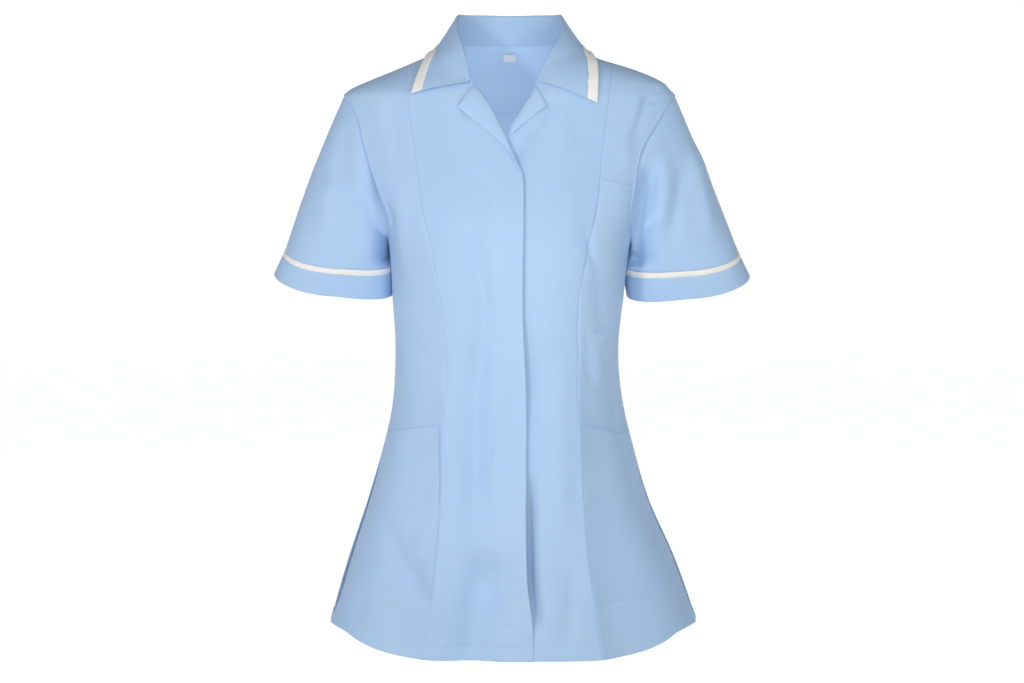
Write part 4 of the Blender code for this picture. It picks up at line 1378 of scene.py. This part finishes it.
# %% Every line of one piece becomes one mesh
threads_of = {}
for name, runs in stitch_lines.items():
    curve = bpy.data.curves.new(f"{name}_stitches", "CURVE")
    curve.dimensions = "3D"
    for thread in np.concatenate(runs):
        spline = curve.splines.new("POLY")
        spline.points.add(len(thread) - 1)
        spline.points.foreach_set("co", np.column_stack([thread * MM, np.ones(len(thread))]).ravel())
    curve.bevel_depth = THREAD_RADIUS * MM
    curve.bevel_resolution = 1
    curve.use_fill_caps = True
    threads = bpy.data.objects.new(f"{name}_stitches", curve)
    bpy.context.scene.collection.objects.link(threads)
    pick_only(threads)
    bpy.ops.object.convert(target="MESH")
    threads_of[name] = bpy.context.object
    print(f"{name}: {len(curve.splines)} stitches")

# %% [markdown]
# ## Finishes
# A finish is a graph of nodes. Arithmetic on a Wire adds Math nodes, so a pattern reads as a formula. The
# cloth's pattern follows its UV map, in metres of cloth, so the yarns keep their size on every piece.

# %% A small helper for nodes
class Wire:
    """One output in a material's nodes. Arithmetic on it adds Math nodes, and node adds any other."""

    def __init__(self, tree, socket=None):
        self.tree = tree
        self.socket = socket

    def node(self, kind, settings=(), inputs=(), output=0):
        """A new node. Its settings come first, then its inputs by name or number, as values or wires."""
        made = self.tree.nodes.new(kind)
        for key, value in dict(settings).items():
            setattr(made, key, value)
        for key, value in dict(inputs).items():
            if isinstance(value, Wire):
                self.tree.links.new(value.socket, made.inputs[key])
            else:
                made.inputs[key].default_value = value
        return Wire(self.tree, made.outputs[output])

    def maths(self, operation, *values):
        return self.node("ShaderNodeMath", {"operation": operation}, dict(enumerate(values)))

    def __add__(self, other):
        return self.maths("ADD", self, other)

    def __sub__(self, other):
        return self.maths("SUBTRACT", self, other)

    def __rsub__(self, other):
        return self.maths("SUBTRACT", other, self)

    def __mul__(self, other):
        return self.maths("MULTIPLY", self, other)

    __radd__ = __add__
    __rmul__ = __mul__


def new_finish(name, constants):
    """A material with its shader. Numbers that are the same all over are set on the shader's own sockets."""
    made = bpy.data.materials.new(name)
    made.use_nodes = True
    shader = made.node_tree.nodes["Principled BSDF"]
    for key, value in constants.items():
        shader.inputs[key].default_value = value
    return made, Wire(made.node_tree), shader


def feed(wire, shader, socket):
    wire.tree.links.new(wire.socket, shader.inputs[socket])


# A Mix node has sockets for numbers, vectors and colours. These are the ones for colours.
MIX_FACTOR, MIX_A, MIX_B, MIX_RESULT = 0, 6, 7, 2
BUMP_DISTANCE = 0.001


def mixed(factor, a, b):
    ends = {MIX_FACTOR: factor, MIX_A: (*a, 1), MIX_B: (*b, 1)}
    return factor.node("ShaderNodeMix", {"data_type": "RGBA"}, ends, MIX_RESULT)


def finished(made, shader, colour, roughness, height, strength):
    """The finish, once its shader has its colour, its roughness and the bump of its height."""
    bump = {"Strength": strength, "Distance": BUMP_DISTANCE, "Height": height}
    feed(colour, shader, "Base Color")
    feed(roughness, shader, "Roughness")
    feed(height.node("ShaderNodeBump", (), bump), shader, "Normal")
    return made


# %% Patterns that follow the cloth
def yarns(start):
    """The cloth's own UV map, in metres, and its across and down, as wires."""
    uv = start.node("ShaderNodeUVMap", {"uv_map": "UVMap"})
    return uv, *(uv.node("ShaderNodeSeparateXYZ", (), {0: uv}, axis) for axis in "XY")


def stretched_noise(uv, scale_across, scale_down, detail):
    at = uv.node("ShaderNodeMapping", (), {0: uv, "Scale": (scale_across, scale_down, 1)})
    return uv.node("ShaderNodeTexNoise", {"noise_dimensions": "2D"}, {0: at, "Scale": 1, "Detail": detail})


def sine(wire, half_length):
    phase = wire * (math.pi / half_length)
    return phase.maths("SINE", phase)


def weave(across, down, pitch):
    """The height of a plain weave from 0 to 1: each yarn goes over one and under the next."""
    return sine(across, pitch) * sine(down, pitch) * 0.5 + 0.5


# %% The blue cloth: a fine close weave, faintly uneven from yarn to yarn
YARN = 0.00042
BLUE_LIGHT = (0.435, 0.625, 0.870)
BLUE_DEEP = (0.375, 0.560, 0.835)
SHEEN_TINT = (0.80, 0.88, 1.0, 1)
SHEEN = {"Sheen Weight": 0.12, "Sheen Roughness": 0.45, "Sheen Tint": SHEEN_TINT}


def blue_cloth():
    made, start, shader = new_finish("blue cloth", {**SHEEN, "Specular IOR Level": 0.32})
    uv, across, down = yarns(start)
    threads = weave(across, down, YARN)
    slubs = stretched_noise(uv, 1400, 14, 2) * 0.5 + stretched_noise(uv, 12, 1200, 2) * 0.5
    broad = stretched_noise(uv, 9, 7, 3)
    tone = (threads - 0.5) * 0.22 + (slubs - 0.5) * 1.1 + (broad - 0.5) * 0.9 + 0.5
    tone = tone.maths("MINIMUM", tone.maths("MAXIMUM", tone, 0), 1)
    roughness = 0.66 + (slubs - 0.5) * 0.25 + (threads - 0.5) * 0.08
    height = threads * 0.035 + slubs * 0.05 + stretched_noise(uv, 55, 40, 3) * 0.5
    return finished(made, shader, mixed(tone, BLUE_DEEP, BLUE_LIGHT), roughness, height, 0.55)


# %% The off-white tape
TAPE_LIGHT = (0.90, 0.89, 0.86)
TAPE_DEEP = (0.84, 0.83, 0.80)
TAPE_RIB = 0.0007


def white_tape():
    made, start, shader = new_finish("off-white tape", {"Sheen Weight": 0.1, "Specular IOR Level": 0.35})
    uv, across, _ = yarns(start)
    rib = sine(across, TAPE_RIB / 2) * 0.5 + 0.5
    slubs = stretched_noise(uv, 500, 160, 2)
    tone = rib * 0.3 + slubs * 0.9
    colour = mixed(tone.maths("MINIMUM", tone, 1), TAPE_DEEP, TAPE_LIGHT)
    return finished(made, shader, colour, 0.6 + slubs * 0.15, rib * 0.06 + slubs * 0.12, 0.5)


# %% The label's satin
SATIN_LIGHT = (0.76, 0.79, 0.83)
SATIN_DEEP = (0.62, 0.66, 0.72)
SATIN_YARN = 0.0003


def label_satin():
    made, start, shader = new_finish("label satin", {"Sheen Weight": 0.15, "Specular IOR Level": 0.5})
    uv, across, down = yarns(start)
    threads = weave(across, down, SATIN_YARN)
    slubs = stretched_noise(uv, 300, 2600, 2)
    colour = mixed(threads * 0.4 + slubs * 0.6, SATIN_DEEP, SATIN_LIGHT)
    return finished(made, shader, colour, 0.38 + slubs * 0.2, threads * 0.03 + slubs * 0.05, 0.4)


# %% The sewing thread
THREAD_LIGHT = (0.50, 0.68, 0.91)
THREAD_DEEP = (0.40, 0.58, 0.84)
PLY_SCALE = 2500


def sewing_thread():
    made, start, shader = new_finish("blue thread", {"Sheen Weight": 0.1, "Specular IOR Level": 0.5})
    at = start.node("ShaderNodeTexCoord", output="Object")
    ply = start.node("ShaderNodeTexNoise", (), {0: at, "Scale": PLY_SCALE, "Detail": 1})
    feed(mixed(ply, THREAD_DEEP, THREAD_LIGHT), shader, "Base Color")
    feed(0.45 + ply * 0.2, shader, "Roughness")
    return made


cloth_blue, tape_white, satin, thread_blue = blue_cloth(), white_tape(), label_satin(), sewing_thread()
print("finishes:", ", ".join(finish.name for finish in (cloth_blue, tape_white, satin, thread_blue)))

# %% [markdown]
# ## Tying the pieces to the frame
# Each piece stands for its solid in the frame, which is hidden, and takes one of the finishes made above.
# Each
# piece keeps the size it was cut to: the size of what shows, without seam allowances or doubled parts.

# %% Rides and finishes
# How each sheet is held, and what it rests on. A star stands for right, and then for left.
HANGS = (
    ("back_yoke", "draped", ()),
    ("back_panel", "hung", ("back_yoke",)),
    ("front_centre_*", "hung", ("back_yoke",)),
    ("front_side_*", "hung", ("back_yoke",)),
    ("sleeve_*", "hung", ("front_side_*", "back_yoke")),
    ("cuff_*", "hung", ("sleeve_*",)),
    ("collar", "folded", ("back_yoke",)),
    ("collar_trim", "folded", ("collar",)),
    ("revere_*", "folded", ("front_centre_*",)),
    ("breast_pocket", "laid", ("front_side_left",)),
    ("hip_pocket_*", "laid", ("front_side_*",)),
)
# These are narrower than the 10 mm that a sheet may be, so each goes with the piece that it is sewn to.
NARROW = {"back_yoke": "size_label", "sleeve_right": "cuff_trim_right", "sleeve_left": "cuff_trim_left"}
for name, piece in pieces.items():
    finish, slot = cloth_blue, "blue_cloth"
    if "trim" in name:
        finish, slot = tape_white, "white_trim"
    elif name == "size_label":
        finish, slot = satin, "label"
    piece.data.materials.append(finish)
    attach(piece, "root")
    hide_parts(name)
for name, threads in threads_of.items():
    threads.data.materials.append(thread_blue)
    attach(threads, "root")
for pattern, held, rests_on in HANGS:
    for word in ("right", "left") if "*" in pattern else ("",):
        name = pattern.replace("*", word)
        on_it = [threads_of[name]] if name in threads_of else []
        if name in NARROW:
            on_it.append(pieces[NARROW[name]])
print(f"{sum(size[2] for size in cloth_sizes.values()):.2f} square metres of cloth shows")

# %% [markdown]
# ## Light and view
# A garment like this is shown against white. The tunic hangs in the middle of a wide white bowl that glows
# softly, so light comes from below and from all round, and less from above. Lamps in front then give it form.

# %% The pale floor, which curves up into a low wall all round
FLOOR = -1.35
FLOOR_RADIUS = 5.0
FLOOR_SIDES = 128
WALL_CURVE = 1.4
WALL_TOP = 2.9
WALL_TURNS = np.radians(range(15, 91, 15))
WALL_SMOOTH_ANGLE = math.radians(40)
bpy.ops.object.select_all(action="DESELECT")
bpy.ops.mesh.primitive_circle_add(
    vertices=FLOOR_SIDES, radius=FLOOR_RADIUS, fill_type="NGON", location=(0, 0, FLOOR)
)
bowl = bpy.context.object
bowl.name = "pale_floor"
bpy.ops.object.mode_set(mode="EDIT")
bpy.ops.mesh.select_mode(type="EDGE")
bpy.ops.mesh.select_all(action="SELECT")
bpy.ops.mesh.region_to_loop()
climb = [(FLOOR_RADIUS + WALL_CURVE * math.sin(a), WALL_CURVE * (1 - math.cos(a))) for a in WALL_TURNS]
ring, height = FLOOR_RADIUS, 0.0
for reach, up in climb + [(FLOOR_RADIUS + WALL_CURVE, WALL_TOP)]:
    bpy.ops.mesh.extrude_edges_move(TRANSFORM_OT_translate={"value": (0, 0, up - height)})
    bpy.ops.transform.resize(value=(reach / ring, reach / ring, 1), center_override=(0, 0, 0))
    ring, height = reach, up
bpy.ops.mesh.select_all(action="SELECT")
bpy.ops.mesh.normals_make_consistent(inside=True)
bpy.ops.object.mode_set(mode="OBJECT")
bpy.ops.object.transform_apply(location=True)
bpy.ops.object.shade_smooth_by_angle(angle=WALL_SMOOTH_ANGLE)

# %% The floor's white paper
# Its glow is soft below the tunic, stronger further off, and softer again up the wall and towards the front.
NEAR_GLOW = 0.22
FAR_GLOW = 0.80
WALL_GLOW = 0.58
NEAR_EDGE_AT = 1.6
FAR_EDGE_AT = 2.5
WALL_FOOT_AT = 4.4
WALL_AT = 6.0
FRONT_SHARE = 0.35
FRONT_AT = -1.0
BACK_AT = 1.5
PAPER_LIGHT = (0.92, 0.92, 0.92)
PAPER_DEEP = (0.88, 0.88, 0.88)
PAPER_GRAIN = 3.0


def rising(wire, low, high, lowest=0.0):
    """The lowest share where the wire is below low, rising smoothly to 1 where it is above high."""
    ends = {"Value": wire, "From Min": low, "From Max": high, "To Min": lowest}
    return wire.node("ShaderNodeMapRange", {"interpolation_type": "SMOOTHSTEP"}, ends)


constants = {"Roughness": 0.9, "Specular IOR Level": 0.1, "Emission Strength": 1.0}
paper, start, shader = new_finish("white paper", constants)
at = start.node("ShaderNodeTexCoord", output="Object")
grain = at.node("ShaderNodeTexNoise", (), {"Vector": at, "Scale": PAPER_GRAIN})
feed(mixed(grain, PAPER_DEEP, PAPER_LIGHT), shader, "Base Color")
flat = at.node("ShaderNodeVectorMath", {"operation": "MULTIPLY"}, {0: at, 1: (1, 1, 0)})
off = flat.node("ShaderNodeVectorMath", {"operation": "LENGTH"}, {0: flat}, "Value")
rise, fall = rising(off, NEAR_EDGE_AT, FAR_EDGE_AT), rising(off, WALL_FOOT_AT, WALL_AT)
glow = NEAR_GLOW + rise * (FAR_GLOW - NEAR_GLOW) - fall * (FAR_GLOW - WALL_GLOW)
depth = at.node("ShaderNodeSeparateXYZ", (), {0: at}, "Y")
glow = glow * rising(depth, FRONT_AT, BACK_AT, FRONT_SHARE)
feed(mixed(glow, (0, 0, 0), (1, 1, 1)), shader, "Emission Color")
bowl.data.materials.append(paper)
bowl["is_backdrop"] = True
print(f"the floor is {-FLOOR * 1000:.0f} mm below the neck")

# %% Soft lights
LAMPS = named_rows(
    "name x y z size power red green blue aim_y aim_z",
    ("key", -1.5, -2.3, 0.3, 0.35, 18.5, 0.99, 0.95, 0.96, 0.0, -0.30),
    ("front", 0.1, -1.0, -0.22, 0.8, 4.1, 1.0, 0.98, 0.90, 0.0, -0.22),
    ("front_high", 0.0, -2.4, 1.0, 1.0, 3.5, 0.99, 1.0, 0.97, 0.0, -0.25),
    ("top_front", 0.0, -1.5, 2.0, 1.2, 3.5, 1.0, 1.0, 1.0, 0.0, -0.36),
    ("top_back", 0.0, 1.4, 1.8, 1.2, 4.5, 1.0, 1.0, 1.0, 0.0, -0.36),
    ("left", -2.6, -0.8, 0.4, 1.0, 4.5, 0.98, 0.94, 1.0, 0.0, -0.20),
    ("right", 1.6, -0.8, 1.4, 0.9, 7.5, 0.97, 0.98, 1.0, 0.1, -0.10),
    ("inside_neck", 0.0, -0.03, -0.27, 0.12, 0.27, 1.0, 0.88, 0.70, 0.07, -0.06),
)
ROOM_COLOUR = (0.90, 0.95, 1.0, 1)
ROOM_STRENGTH = 0.05
for lamp in LAMPS:
    light = bpy.data.lights.new(lamp.name, "AREA")
    light.shape = "DISK"
    light.size = lamp.size
    light.energy = lamp.power
    light.color = (lamp.red, lamp.green, lamp.blue)
    holder = bpy.data.objects.new(lamp.name, light)
    holder.location = (lamp.x, lamp.y, lamp.z)
    holder.visible_camera = False
    x, y, z = lamp.x, lamp.y - lamp.aim_y, lamp.z - lamp.aim_z
    holder.rotation_euler = (math.atan2(math.hypot(x, y), z), 0, math.atan2(x, -y))
    bpy.context.scene.collection.objects.link(holder)

world = bpy.data.worlds.new("soft room")
world.use_nodes = True
room = world.node_tree.nodes["Background"]
room.inputs["Color"].default_value = ROOM_COLOUR
room.inputs["Strength"].default_value = ROOM_STRENGTH
bpy.context.scene.world = world
print(len(LAMPS), "lamps")

# %% The camera
SENSOR = 36.0
LENS = 87.9
CAMERA_PLACE = (0.003, -3.0, -0.110)
CAMERA_DROP = 4.686
camera = bpy.data.cameras.new("camera")
camera.lens = LENS
camera.sensor_width = SENSOR
viewer = bpy.data.objects.new("camera", camera)
viewer.location = CAMERA_PLACE
viewer.rotation_euler = (math.radians(90 - CAMERA_DROP), 0, 0)
bpy.context.scene.collection.objects.link(viewer)
bpy.context.scene.camera = viewer
bpy.context.scene.view_settings.view_transform = "Standard"
print(f"the camera is {-CAMERA_PLACE[1]:.1f} m in front")

# %% Print both sizes, and finish
seen_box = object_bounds()
plain = lambda box: [[float(number) for number in corner] for corner in box]
{"cad": plain(cad_box), "visual": plain(seen_box)}
for axis in range(3):
    print("XYZ"[axis], [round(float(corner[axis]) * 1000, 1) for corner in (*cad_box, *seen_box)])
